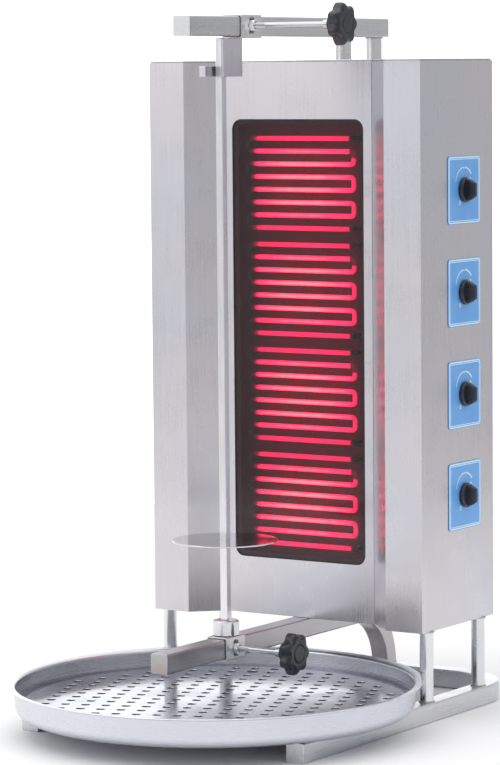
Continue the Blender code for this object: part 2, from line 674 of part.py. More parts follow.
def build_spit(spit, disc, steel, polished):
    """Square bar with a round foot; a cross pin carries the loose loading disc."""
    foot = CUP_BOTTOM + 0.0085 + GAP
    shoulder = CUP_TOP + 0.0004
    bar = chamfered_square(SPIT_HALF, 0.0007)
    tip = chamfered_square(SPIT_HALF - 0.0008, 0.0007)
    stub = circle(0.0045, 8, -0.5)
    centre = (0.0, SPIT_Y)
    loops = [on_plane(stub, "Z", foot, centre), on_plane(stub, "Z", shoulder, centre),
             on_plane(bar, "Z", shoulder, centre), on_plane(bar, "Z", SPIT_TOP - 0.001, centre),
             on_plane(tip, "Z", SPIT_TOP, centre)]
    rod = add_node("spit_rod", stack("spit_rod", loops), spit, steel)
    hole = PIN_RADIUS + GAP
    add_cutter(rod, "pin_hole", turned("pin_hole", [(hole, -0.01), (hole, 0.01)], "X", (SPIT_Y, PIN_Z), 12))

    pin = [(0.0015, -0.0170), (PIN_RADIUS, -0.0165), (PIN_RADIUS, 0.0165), (0.0035, 0.0165),
           (0.0035, 0.0185)]
    add_node("disc_pin", turned("disc_pin", pin, "X", (SPIT_Y, PIN_Z), 12), spit, steel)

    low = PIN_Z + 0.0035 + GAP
    edge = 0.0004
    profile = [(DISC_RADIUS - edge, low), (DISC_RADIUS, low + edge),
               (DISC_RADIUS, low + DISC_THICK - edge), (DISC_RADIUS - edge, low + DISC_THICK)]
    plate = add_node("spit_disc", turned("spit_disc", profile, "Z", (0.0, SPIT_Y), 48), disc, polished)
    half = SPIT_HALF + 0.0004
    hole = block("disc_hole", (-half, SPIT_Y - half, low - 0.01), (half, SPIT_Y + half, low + 0.01))
    add_cutter(plate, "disc_hole", hole)


# ---------------------------------------------------------------- drip tray
def arc(radius, height, bend, start, end, steps):
    """Points of a profile's rounded corner, its centre at (radius, height)."""
    angles = [start + (end - start) * i / steps for i in range(steps + 1)]
    return [(radius + bend * math.cos(a), height + bend * math.sin(a)) for a in angles]


def build_tray(tray, insert, satin, polished):
    """A round pan with a flared lip, and the loose plate that stands in it on its skirt."""
    corner_r = TRAY_WALL - TRAY_CORNER
    corner_z = TRAY_FLOOR + TRAY_CORNER
    outside = arc(corner_r, corner_z, TRAY_CORNER, -math.pi / 2, 0.0, 4)
    inside = arc(corner_r, corner_z, TRAY_CORNER - SHEET, 0.0, -math.pi / 2, 4)
    lip = [(TRAY_WALL, 0.0590), (TRAY_WALL + 0.0016, 0.0612), (TRAY_RIM, 0.0628), (TRAY_RIM, 0.0640),
           (TRAY_WALL + 0.0008, 0.0624), (TRAY_WALL - SHEET, 0.0596)]
    pan = turned("drip_tray", outside + lip + inside, "Z", (0.0, TRAY_Y), 64)
    add_node("drip_tray", pan, tray, satin)

    skirt = TRAY_FLOOR + SHEET + GAP
    inner = INSERT_RADIUS - SHEET
    profile = [(INSERT_RADIUS - 0.0015, INSERT_TOP), (INSERT_RADIUS, INSERT_TOP - 0.0015),
               (INSERT_RADIUS, skirt), (inner, skirt), (inner, INSERT_TOP - 0.0020),
               (inner - 0.0008, INSERT_TOP - SHEET)]
    plate = turned("tray_insert", profile, "Z", (0.0, TRAY_Y), 64)
    plate = add_node("tray_insert", plate, insert, polished)
    hole = turned("finger_hole", [(0.0075, INSERT_TOP - 0.01), (0.0075, INSERT_TOP + 0.01)], "Z",
                  FINGER_HOLE, 16)
    add_cutter(plate, "finger_hole", hole)


# ---------------------------------------------------------------- assembly
def build():
    clear_scene()
    steel = material("satin_steel", (0.62, 0.63, 0.65), 0.34, 1.0)
    bright = material("bright_steel", (0.74, 0.75, 0.78), 0.22, 1.0)
    warm = material("welded_steel", (0.46, 0.44, 0.44), 0.38, 1.0)
    black = material("black_plastic", (0.030, 0.032, 0.045), 0.38, 0.0)
    dark_case = material("regulator_plastic", (0.08, 0.08, 0.085), 0.55, 0.0)
    blue = material("printed_blue", (0.03, 0.16, 0.50), 0.35, 0.0)
    glass = material("dark_glass", (0.025, 0.035, 0.055), 0.08, 0.0)
    seal = material("braided_seal", (0.10, 0.10, 0.10), 0.9, 0.0)
    board = material("heat_board", (0.24, 0.17, 0.16), 0.8, 0.0)
    glowing = material("glowing_element", (0.95, 0.16, 0.22), 0.6, 0.0)
    ceramic = material("ceramic", (0.78, 0.75, 0.68), 0.6, 0.0)
    brass = material("brass", (0.70, 0.55, 0.28), 0.35, 1.0)
    finishes = {"steel": bright, "brass": brass, "black": black}

    root = body_empty("broiler")
    build_stand(root, steel)
    build_arms(root, steel, warm)
    build_casings(root, steel)
    build_heater_panel(root, steel)
    build_roof(root, steel)
    build_floor(root, steel)
    build_back(root, steel, black)
    build_glass(root, glass, seal)
    build_carrier(root, board)
    build_elements(root, glowing)
    build_terminal_strip(root, ceramic)
    build_controls(root, blue, dark_case, black)

    for side, span, arm_z, screw in (("lower", LOWER_SLEEVE, ARM_Z, LOWER_SCREW),
                                     ("upper", UPPER_SLEEVE, BEAM_Z, UPPER_SCREW)):
        carriage = body_empty(f"{side}_carriage", (0.0, sum(span) / 2, arm_z), root)
        screw_at = (SLEEVE_HALF, screw["y"], screw["z"])
        pad_body = body_empty(f"{side}_pad_travel", screw_at, carriage)
        screw_body = body_empty(f"{side}_screw_axis", screw_at, pad_body)
        build_sleeve(f"{side}_sleeve", span, arm_z, screw, carriage, bright)
        build_clamp(side, screw, carriage, pad_body, screw_body, finishes)
        if side == "upper":
            build_head_bracket(carriage, steel)
        else:
            build_cup(carriage, bright)
            spit_body = body_empty("spit_axis", (0.0, SPIT_Y, CUP_TOP), carriage)
    disc_body = body_empty("disc_travel", (0.0, SPIT_Y, PIN_Z), spit_body)
    build_spit(spit_body, disc_body, bright, bright)

    tray_body = body_empty("tray_travel", (0.0, TRAY_Y, TRAY_FLOOR), root)
    insert_body = body_empty("insert_lift", (0.0, TRAY_Y, INSERT_TOP), tray_body)
    build_tray(tray_body, insert_body, steel, bright)


build()
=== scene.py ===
"""Looks of the vertical rotisserie broiler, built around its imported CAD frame.

Metres, +Z up, the front of the grill faces -Y. Round pieces, bends, threads, the drain holes
and the printed plates are rebuilt finely here and stand for their CAD nodes. Folded sheet
pieces keep the CAD node's own shape, with its edges eased. Everything is modelled in place.
"""
import json
import math

import bmesh
import bpy
from mathutils import Matrix, Vector


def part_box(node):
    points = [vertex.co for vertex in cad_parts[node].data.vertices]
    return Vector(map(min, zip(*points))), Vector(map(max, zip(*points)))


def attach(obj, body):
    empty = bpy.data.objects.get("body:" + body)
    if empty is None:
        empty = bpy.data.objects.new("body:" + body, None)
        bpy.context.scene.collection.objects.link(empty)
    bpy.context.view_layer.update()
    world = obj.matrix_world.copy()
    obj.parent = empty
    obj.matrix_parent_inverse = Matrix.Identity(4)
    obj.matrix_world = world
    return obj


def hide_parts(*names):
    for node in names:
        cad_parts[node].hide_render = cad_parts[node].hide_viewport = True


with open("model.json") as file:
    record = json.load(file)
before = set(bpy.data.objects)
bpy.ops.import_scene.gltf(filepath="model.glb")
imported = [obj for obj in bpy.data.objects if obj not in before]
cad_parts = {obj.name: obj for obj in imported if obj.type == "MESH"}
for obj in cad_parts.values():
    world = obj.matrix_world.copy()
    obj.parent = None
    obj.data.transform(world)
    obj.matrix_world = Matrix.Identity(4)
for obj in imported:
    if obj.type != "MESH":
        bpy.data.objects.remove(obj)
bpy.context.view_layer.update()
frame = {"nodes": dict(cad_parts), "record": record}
RECORD = frame["record"]
BODY_OF = {node: body for body, nodes in RECORD["behaviour"]["bodies"].items() for node in nodes}

SIDES = ("left", "right")
ROWS = ("front", "rear")
CARRIAGES = ("lower", "upper")
ZONES = (1, 2, 3, 4)
QUARTER = math.pi / 2
FINISHES = {}               # materials by name

CAP_PLATE = 0.002           # closing plates of the square tubes
TUBE_WALL = 0.0015
TUBE_CORNER = 0.0022
BASE_BEND = 0.0825          # centreline radius of the stand's rear corners
ELEMENT_RADIUS = 0.00325
ELEMENT_PASSES = 8
BEAD_RADIUS = 0.0012        # of the weld beads
SHEET = 0.0012              # of the pan, its insert and the back cover
ELEMENT_LEAD = 0.006        # how far the terminal legs stand outside the straight passes


# ---- camera
def build_camera():
    """A long lens in front of the grill and to its right, looking slightly down."""
    yaw, pitch, roll = math.radians(33.131), math.radians(5.221), math.radians(-0.491)
    forward = Vector((-math.sin(yaw) * math.cos(pitch), math.cos(yaw) * math.cos(pitch), -math.sin(pitch)))
    level = Vector((math.cos(yaw), math.sin(yaw), 0.0))
    upright = level.cross(forward)
    right = level * math.cos(roll) + upright * math.sin(roll)
    up = upright * math.cos(roll) - level * math.sin(roll)
    data = bpy.data.cameras.new("camera")
    data.lens = 159.66
    data.sensor_width = 36.0
    data.clip_end = 100.0
    camera = bpy.data.objects.new("camera", data)
    turn = Matrix((right, up, -forward)).transposed().to_4x4()
    camera.matrix_world = Matrix.Translation((2.3441, -3.58725, 0.8249)) @ turn
    bpy.context.scene.collection.objects.link(camera)
    bpy.context.scene.camera = camera


# ---- outlines
def polar(radius, angle):
    return (radius * math.cos(angle), radius * math.sin(angle))


def circle(radius, sides, phase=0.0):
    return [polar(radius, 2 * math.pi * (i + phase) / sides) for i in range(sides)]


def wavy(radius_at, sides):
    """A closed outline whose radius depends on the angle."""
    angles = [2 * math.pi * i / sides for i in range(sides)]
    return [polar(radius_at(angle), angle) for angle in angles]


def round_rectangle(low, high, radius, steps):
    """Corner arcs joined into one outline, anticlockwise."""
    centres = [(low[0] + radius, low[1] + radius), (high[0] - radius, low[1] + radius),
               (high[0] - radius, high[1] - radius), (low[0] + radius, high[1] - radius)]
    outline = []
    for quarter, (cx, cy) in enumerate(centres):
        for step in range(steps + 1):
            angle = math.pi + (quarter + step / steps) * QUARTER
            outline.append((cx + radius * math.cos(angle), cy + radius * math.sin(angle)))
    return outline


def round_square(half, radius, steps=4):
    return round_rectangle((-half, -half), (half, half), radius, steps)


def on_plane(outline, axis, height, centre=(0.0, 0.0)):
    """Lift a 2D outline onto the plane across an axis: X gives (y, z), Y (x, z), Z (x, y)."""
    points = []
    for u, v in outline:
        u, v = u + centre[0], v + centre[1]
        points.append({"X": (height, u, v), "Y": (u, height, v), "Z": (u, v, height)}[axis])
    return points


def rounds(profile, axis, centre, sides):
    """Circles for the (radius, height) pairs of a profile, about an axis through centre."""
    return [on_plane(circle(r, sides), axis, height, centre) for r, height in profile]


def arc(radius, height, bend, start, end, steps):
    """Points of a turned profile's rounded corner, its centre at (radius, height)."""
    turned = [polar(bend, start + (end - start) * i / steps) for i in range(steps + 1)]
    return [(radius + out, height + up) for out, up in turned]


# ---- mesh building
def add_skin(bm, loops, ring=False, finish=0):
    """Skin a row of equal loops; the ends are capped, or joined to each other in a ring."""
    rows = [[bm.verts.new(point) for point in loop] for loop in loops]
    pairs = list(zip(rows, rows[1:]))
    if ring:
        pairs.append((rows[-1], rows[0]))
    faces = []
    for low, high in pairs:
        for i in range(len(low)):
            j = (i + 1) % len(low)
            faces.append(bm.faces.new((low[i], low[j], high[j], high[i])))
    if not ring:
        faces.append(bm.faces.new(rows[0][::-1]))
        faces.append(bm.faces.new(rows[-1]))
    for face in faces:
        face.material_index = finish


def add_turned(bm, profile, axis, centre, sides):
    add_skin(bm, rounds(profile, axis, centre, sides))


def add_plate(bm, outer, holes, finish=0):
    """A plate: each of its loops is a list of equal loops that run from its top to its bottom."""
    edge_rows = []
    for loops in [outer] + holes:
        rows = [[bm.verts.new(point) for point in loop] for loop in loops]
        for low, high in zip(rows, rows[1:]):
            for i in range(len(low)):
                j = (i + 1) % len(low)
                bm.faces.new((low[i], low[j], high[j], high[i])).material_index = finish
        edge_rows.append((rows[0], rows[-1]))
    for end in (0, 1):
        rim = []
        for rows in edge_rows:
            loop = rows[end]
            rim += [bm.edges.get((loop[i], loop[i - 1])) for i in range(len(loop))]
        made = bmesh.ops.triangle_fill(bm, use_beauty=True, use_dissolve=False, edges=rim)
        for item in made["geom"]:
            if isinstance(item, bmesh.types.BMFace):
                item.material_index = finish


def add_bead(bm, path, radius, closed=True, finish=0):
    """A weld bead: a small rippled rope of metal along a path."""
    count = len(path)
    loops = []
    for i, point in enumerate(path):
        ahead = Vector(path[(i + 1) % count] if closed or i < count - 1 else path[i])
        behind = Vector(path[i - 1] if closed or i > 0 else path[i])
        along = (ahead - behind).normalized()
        side = along.orthogonal().normalized()
        if abs(along.z) < 0.9:
            side = along.cross(Vector((0.0, 0.0, 1.0))).normalized()
        up = side.cross(along)
        size = radius * (1.0 + 0.1 * math.cos(math.pi * i) + 0.06 * math.sin(i * 2.4))
        loops.append([Vector(point) + side * u + up * v for u, v in circle(size, 8, 0.5)])
    add_skin(bm, loops, ring=closed, finish=finish)


def add_blob(bm, centre, size, finish=0):
    """A flattened drop of weld metal."""
    made = bmesh.ops.create_icosphere(bm, subdivisions=3, radius=1.0)
    for vert in made["verts"]:
        x, y, z = vert.co
        lump = 1.0 + 0.1 * math.sin(3.1 * y + 1.7 * z) + 0.07 * math.cos(5.3 * z - 2.0 * x)
        vert.co = Vector(centre) + Vector((x * size[0], y * size[1], z * size[2])) * lump
        for face in vert.link_faces:
            face.material_index = finish


def add_square_tube(bm, stations, across, half, finish=0):
    """A hollow square tube through (point, direction) stations in a plane across `across`."""
    outer, inner = [], []
    side = Vector(across)
    for point, direction in stations:
        up = side.cross(Vector(direction)).normalized()
        for loops, reach, corner in ((outer, half, TUBE_CORNER),
                                     (inner, half - TUBE_WALL, TUBE_CORNER - TUBE_WALL)):
            loops.append([Vector(point) + side * u + up * v for u, v in round_square(reach, corner)])
    add_skin(bm, outer + inner[::-1], ring=True, finish=finish)


# ---- pieces
def shaded(name, bm, materials, sharp):
    """Turn a bmesh into a smooth object with sharp edges that wears the named finishes."""
    bmesh.ops.recalc_face_normals(bm, faces=bm.faces)
    mesh = bpy.data.meshes.new(name)
    bm.to_mesh(mesh)
    bm.free()
    for finish in materials:
        mesh.materials.append(FINISHES[finish])
    mesh.shade_smooth()
    mesh.set_sharp_from_angle(angle=math.radians(sharp))
    piece = bpy.data.objects.new(name, mesh)
    bpy.context.scene.collection.objects.link(piece)
    return piece


def ease_edges(piece, width, segments, limit):
    ease = piece.modifiers.new("eased_edges", "BEVEL")
    ease.width = width
    ease.segments = segments
    ease.limit_method = limit
    ease.angle_limit = math.radians(30.0)
    ease.harden_normals = True


def make(name, bm, materials, nodes, sharp=35.0, bevel=0.0, weigh=True):
    """A piece that rides with, and stands for, its CAD nodes."""
    piece = shaded(name, bm, materials, sharp)
    if bevel:
        ease_edges(piece, bevel, 2, "ANGLE")
    elif weigh:
        even = piece.modifiers.new("flat_faces_stay_flat", "WEIGHTED_NORMAL")
        even.weight = 100
        even.keep_sharp = True
    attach(piece, BODY_OF[nodes[0]])
    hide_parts(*nodes)
    return piece


def make_extra(name, bm, materials, body, sharp=35.0):
    """A small piece that has no CAD node of its own, riding on a body."""
    piece = shaded(name, bm, materials, sharp)
    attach(piece, body)


def make_turned(name, node, axis, profile, sides, finish, sharp=35.0):
    """A turned piece about the middle of its CAD node."""
    bm = bmesh.new()
    add_turned(bm, profile, axis, centre_of(node, axis), sides)
    make(name, bm, [finish], [node], sharp)


def eased_copy(node, finish, width, fold_width=None):
    """The CAD node's own shape with its edges eased; folds of a sheet can be rounder."""
    bm = bmesh.new()
    bm.from_mesh(frame["nodes"][node].data)
    bmesh.ops.remove_doubles(bm, verts=bm.verts, dist=0.00001)
    bmesh.ops.dissolve_limit(bm, angle_limit=math.radians(0.5), verts=bm.verts, edges=bm.edges)
    fold_width = fold_width or width
    weights = bm.edges.layers.float.new("bevel_weight_edge")
    for edge in bm.edges:
        if len(edge.link_faces) == 2 and edge.calc_face_angle() > math.radians(28.0):
            along = (edge.verts[1].co - edge.verts[0].co).normalized()
            is_fold = abs(along.z) > 0.99 and (edge.verts[1].co - edge.verts[0].co).length > 0.3
            edge[weights] = (fold_width if is_fold else width) / max(width, fold_width)
    piece = make(f"{node}_sheet", bm, [finish], [node], weigh=False)
    ease_edges(piece, max(width, fold_width), 3, "WEIGHT")


def tube_half():
    low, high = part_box("base_frame")
    return (high.z - low.z) / 2


def middle(node):
    low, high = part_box(node)
    return (low + high) / 2


def centre_of(node, axis):
    """The middle of a node in the plane across an axis."""
    spot = middle(node)
    return {"X": (spot.y, spot.z), "Y": (spot.x, spot.z), "Z": (spot.x, spot.y)}[axis]


# ---- materials
class Nodes:
    """Adds nodes to one tree and joins them up."""

    def __init__(self, tree):
        self.tree = tree

    def add(self, kind, inputs=None, **settings):
        made = self.tree.nodes.new(kind)
        for key, value in settings.items():
            setattr(made, key, value)
        for key, value in (inputs or {}).items():
            self.feed(made.inputs[key], value)
        return made

    def feed(self, socket, value):
        if isinstance(value, bpy.types.NodeSocket):
            self.tree.links.new(value, socket)
        else:
            socket.default_value = value

    def spread(self, value, low, high, to_low, to_high, **settings):
        inputs = {"Value": value, "From Min": low, "From Max": high, "To Min": to_low, "To Max": to_high}
        return self.add("ShaderNodeMapRange", inputs, **settings).outputs["Result"]

    def sum(self, first, second, operation="ADD"):
        return self.add("ShaderNodeMath", {0: first, 1: second}, operation=operation).outputs["Value"]


class Recipe(Nodes):
    """Grows one material's node tree around its Principled shader."""

    def __init__(self, name):
        self.material = bpy.data.materials.new(name)
        self.material.use_nodes = True
        super().__init__(self.material.node_tree)
        self.shader = self.tree.nodes["Principled BSDF"]
        self.place = self.add("ShaderNodeTexCoord").outputs["Object"]
        FINISHES[name] = self.material

    def noise(self, scale, detail=3.0, roughness=0.55, vector=None):
        inputs = {"Vector": vector or self.place, "Scale": scale, "Detail": detail, "Roughness": roughness}
        return self.add("ShaderNodeTexNoise", inputs).outputs["Fac"]

    def streaks(self, stretch, detail, roughness=0.55, vector=None):
        """Noise that is drawn out along one direction."""
        drawn = self.add("ShaderNodeMapping", {"Vector": vector or self.place, "Scale": stretch})
        return self.noise(1.0, detail, roughness, drawn.outputs["Vector"])

    def vary(self, noise, low, high):
        """Bring the middle of a noise to the span from low to high."""
        return self.spread(noise, 0.3, 0.7, low, high)

    def blend(self, amount, first, second, mode="MIX"):
        inputs = {0: amount, 6: first, 7: second}
        return self.add("ShaderNodeMix", inputs, data_type="RGBA", blend_type=mode).outputs[2]

    def mottled(self, noise, dark, light):
        return self.blend(self.vary(noise, 0.0, 1.0), rgb(*dark), rgb(*light))

    def toned(self, colour, streaks, low, high):
        """Brushed streaks darken and lighten a colour."""
        tone = self.spread(streaks, 0.25, 0.75, low, high)
        tone = self.add("ShaderNodeCombineXYZ", {0: tone, 1: tone, 2: tone}).outputs["Vector"]
        return self.blend(1.0, colour, tone, "MULTIPLY")

    def worn(self, colour, edge, share, bare):
        """Another colour shows along the edges."""
        return self.blend(self.sum(edge, share, "MULTIPLY"), colour, rgb(*bare))

    def ramp(self, value, stops):
        made = self.add("ShaderNodeValToRGB", {"Fac": value})
        elements = made.color_ramp.elements
        while len(elements) < len(stops):
            elements.new(1.0)
        for element, (position, colour) in zip(elements, stops):
            element.position = position
            element.color = rgb(*colour)
        return made.outputs["Color"]

    def spun(self, centre):
        """Distance from a vertical axis and height, so that noise runs in rings."""
        moved = self.add("ShaderNodeVectorMath", {0: self.place, 1: (-centre[0], -centre[1], 0.0)},
                         operation="ADD").outputs["Vector"]
        flat = self.add("ShaderNodeVectorMath", {0: moved, 1: (1.0, 1.0, 0.0)}, operation="MULTIPLY")
        length = self.add("ShaderNodeVectorMath", {0: flat.outputs["Vector"]}, operation="LENGTH")
        height = self.add("ShaderNodeSeparateXYZ", {0: moved}).outputs["Z"]
        return self.add("ShaderNodeCombineXYZ", {0: length.outputs["Value"], 2: height}).outputs["Vector"]

    def edges(self, radius):
        """0 on flat stretches, up to 1 along edges."""
        eased = self.add("ShaderNodeBevel", {"Radius": radius}, samples=4).outputs["Normal"]
        normal = self.add("ShaderNodeNewGeometry").outputs["Normal"]
        dot = self.add("ShaderNodeVectorMath", {0: eased, 1: normal}, operation="DOT_PRODUCT")
        return self.spread(dot.outputs["Value"], 0.995, 0.9, 0.0, 1.0)

    def finish(self, colour, roughness, bump=None, strength=0.1, distance=0.0003):
        self.feed(self.shader.inputs["Base Color"], colour)
        self.feed(self.shader.inputs["Roughness"], roughness)
        if bump is not None:
            made = self.add("ShaderNodeBump", {"Height": bump, "Strength": strength, "Distance": distance})
            self.feed(self.shader.inputs["Normal"], made.outputs["Normal"])


def rgb(red, green, blue):
    return (red, green, blue, 1.0)


def steel(name, warm, cool, roughness, grain=(500.0, 500.0, 9.0), spun_about=None,
          streak=0.1, grain_bump=0.1, smudge=0.06, edge_radius=0.0009):
    """Stainless sheet: fine brushed streaks, a slow warm and cool drift, and brighter edges."""
    recipe = Recipe(name)
    rings = recipe.spun(spun_about) if spun_about else None
    streaks = recipe.streaks(grain, 5.0, 0.62, rings)
    drift = recipe.noise(3.2, detail=2.0)
    smudges = recipe.noise(17.0, detail=4.0)
    colour = recipe.blend(recipe.spread(drift, 0.38, 0.62, 0.0, 1.0), rgb(*warm), rgb(*cool))
    colour = recipe.toned(colour, streaks, 1.0 - streak, 1.0 + 0.5 * streak)
    edge = recipe.edges(edge_radius)
    colour = recipe.worn(colour, edge, 0.45, (0.86, 0.87, 0.89))
    rough = recipe.sum(recipe.spread(streaks, 0.25, 0.75, roughness - 0.05, roughness + 0.06),
                       recipe.vary(smudges, -smudge, smudge))
    rough = recipe.sum(rough, recipe.sum(edge, 0.1, "MULTIPLY"), "SUBTRACT")
    recipe.shader.inputs["Metallic"].default_value = 1.0
    recipe.finish(colour, rough, streaks, grain_bump, 0.0002)


def burnt_steel(name, spots, reach, base_colour, roughness, grain, strength=1.0):
    """Steel with straw, brown and blue heat tints around its welds."""
    recipe = Recipe(name)
    streaks = recipe.streaks(grain, 4.0)
    mottle = recipe.noise(60.0, detail=4.0)
    heat = 0.0
    for spot in spots:
        away = recipe.add("ShaderNodeVectorMath", {0: recipe.place, 1: spot}, operation="DISTANCE")
        near = recipe.spread(away.outputs["Value"], 0.15 * reach, reach, strength, 0.0)
        heat = recipe.sum(heat, near, "MAXIMUM")
    heat = recipe.sum(heat, recipe.vary(mottle, -0.1, 0.1))
    colour = recipe.ramp(heat, ((0.0, base_colour), (0.3, base_colour), (0.48, (0.56, 0.47, 0.38)),
                                (0.64, (0.36, 0.27, 0.25)), (0.8, (0.24, 0.24, 0.3)),
                                (1.0, (0.14, 0.13, 0.14))))
    colour = recipe.toned(colour, streaks, 0.88, 1.06)
    colour = recipe.worn(colour, recipe.edges(0.0009), 0.5, (0.8, 0.79, 0.78))
    rough = recipe.sum(recipe.spread(streaks, 0.25, 0.75, roughness - 0.05, roughness + 0.07),
                       recipe.spread(heat, 0.3, 1.0, 0.0, 0.18))
    recipe.shader.inputs["Metallic"].default_value = 1.0
    recipe.finish(colour, rough, streaks, 0.1, 0.0002)


def plastic(name, dark, light, roughness):
    """Moulded plastic: fine spark texture, faint handling polish and paler worn edges."""
    recipe = Recipe(name)
    grain = recipe.noise(900.0, detail=2.0)
    handling = recipe.noise(38.0)
    paler = tuple(min(1.0, channel * 2.6 + 0.02) for channel in light)
    colour = recipe.worn(recipe.mottled(handling, dark, light), recipe.edges(0.0007), 0.35, paler)
    recipe.finish(colour, recipe.vary(handling, roughness - 0.07, roughness + 0.07), grain, 0.12, 0.0001)


def printed(name, colour, tint, roughness):
    """Printed or enamelled face: slightly uneven ink over a fine orange peel."""
    recipe = Recipe(name)
    ink = recipe.noise(45.0, detail=4.0)
    peel = recipe.noise(420.0, detail=2.0)
    recipe.shader.inputs["Coat Weight"].default_value = 0.25
    recipe.shader.inputs["Coat Roughness"].default_value = 0.12
    rough = recipe.vary(ink, roughness - 0.05, roughness + 0.06)
    recipe.finish(recipe.mottled(ink, colour, tint), rough, peel, 0.05, 0.0001)


def dark_glass():
    """Dark heat-resistant glass that lets the elements' red light through."""
    recipe = Recipe("dark_glass")
    haze = recipe.noise(24.0, detail=4.0)
    wipe = recipe.streaks((6.0, 6.0, 60.0), 3.0)
    rough = recipe.sum(recipe.vary(haze, 0.05, 0.09), recipe.vary(wipe, 0.0, 0.02))
    recipe.shader.inputs["Transmission Weight"].default_value = 1.0
    recipe.shader.inputs["IOR"].default_value = 1.38
    recipe.finish(recipe.mottled(haze, (0.58, 0.44, 0.5), (0.62, 0.48, 0.54)), rough)


def glow():
    """Heating element: its rows glow where they are hot, least at each zone's first and last row; the back of
    each tube is painted darker as shade.
    """
    recipe = Recipe("element_glow")
    parts = recipe.add("ShaderNodeSeparateXYZ", {0: recipe.place})
    x, y, z = (parts.outputs[axis] for axis in "XYZ")
    zones = sorted(middle(f"heater_element_{zone}").z for zone in ZONES)
    spacing = (zones[-1] - zones[0]) / (len(ZONES) - 1)
    low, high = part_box("heater_element_1")
    left_end, right_end = -low.x - ELEMENT_RADIUS - 0.008, high.x - ELEMENT_RADIUS - 0.008
    share = recipe.sum(recipe.sum(z, zones[0] - spacing / 2, "SUBTRACT"), spacing, "DIVIDE")
    share = recipe.sum(share, 1.0, "MODULO")
    from_middle = recipe.sum(recipe.sum(share, 0.5, "SUBTRACT"), 0.0, "ABSOLUTE")
    rows = recipe.spread(from_middle, 0.25, 0.42, 1.0, 0.6)
    bends = recipe.spread(share, 0.73, 0.75, 0.7, 0.22)
    bends = recipe.sum(bends, recipe.spread(from_middle, 0.34, 0.38, 1.0, 0.0), "MULTIPLY")
    at_bend = recipe.spread(x, right_end + 0.001, right_end + 0.004, 0.0, 1.0)
    level = recipe.add("ShaderNodeMix", {0: at_bend, 2: rows, 3: bends}, data_type="FLOAT").outputs[0]
    ends = recipe.spread(recipe.sum(x, 0.0, "ABSOLUTE"), left_end * 0.3, left_end * 0.95, 1.0, 0.8)
    left = recipe.spread(x, -left_end * 1.02, -left_end * 0.86, 0.0, 1.0)
    # painted shade: the glow fades from the front of each tube to its back, so the tube looks round
    front = recipe.spread(y, low.y, low.y + 1.1 * ELEMENT_RADIUS, 1.0, 0.45)
    flicker = recipe.noise(130.0)
    heat = recipe.vary(flicker, 0.95, 1.04)
    for part in (level, ends, left, front):
        heat = recipe.sum(heat, part, "MULTIPLY")
    colour = recipe.ramp(heat, ((0.0, (0.0, 0.0, 0.0)), (0.25, (0.1, 0.0, 0.01)),
                                (0.5, (0.7, 0.01, 0.07)), (0.78, (1.0, 0.03, 0.11)),
                                (1.0, (1.0, 0.2, 0.21))))
    recipe.feed(recipe.shader.inputs["Emission Color"], colour)
    recipe.shader.inputs["Emission Strength"].default_value = 3.2
    crust = recipe.mottled(flicker, (0.05, 0.03, 0.03), (0.09, 0.05, 0.045))
    recipe.finish(crust, 0.75, flicker, 0.2, 0.0003)


def rough_board(name, dark, light, roughness):
    """Dull mineral or ceramic surface with stains."""
    recipe = Recipe(name)
    stain = recipe.noise(11.0, detail=5.0)
    pore = recipe.noise(320.0)
    rough = recipe.vary(pore, roughness - 0.08, roughness + 0.05)
    recipe.finish(recipe.mottled(stain, dark, light), rough, pore, 0.35, 0.0003)


def braided_cord():
    recipe = Recipe("seal_cord")
    weave = recipe.add("ShaderNodeTexWave", {"Vector": recipe.place, "Scale": 240.0, "Distortion": 2.0},
                       bands_direction="DIAGONAL").outputs["Fac"]
    colour = recipe.blend(weave, rgb(0.045, 0.045, 0.045), rgb(0.14, 0.14, 0.135))
    recipe.finish(colour, recipe.spread(weave, 0.0, 1.0, 0.95, 0.8), weave, 0.5, 0.0005)


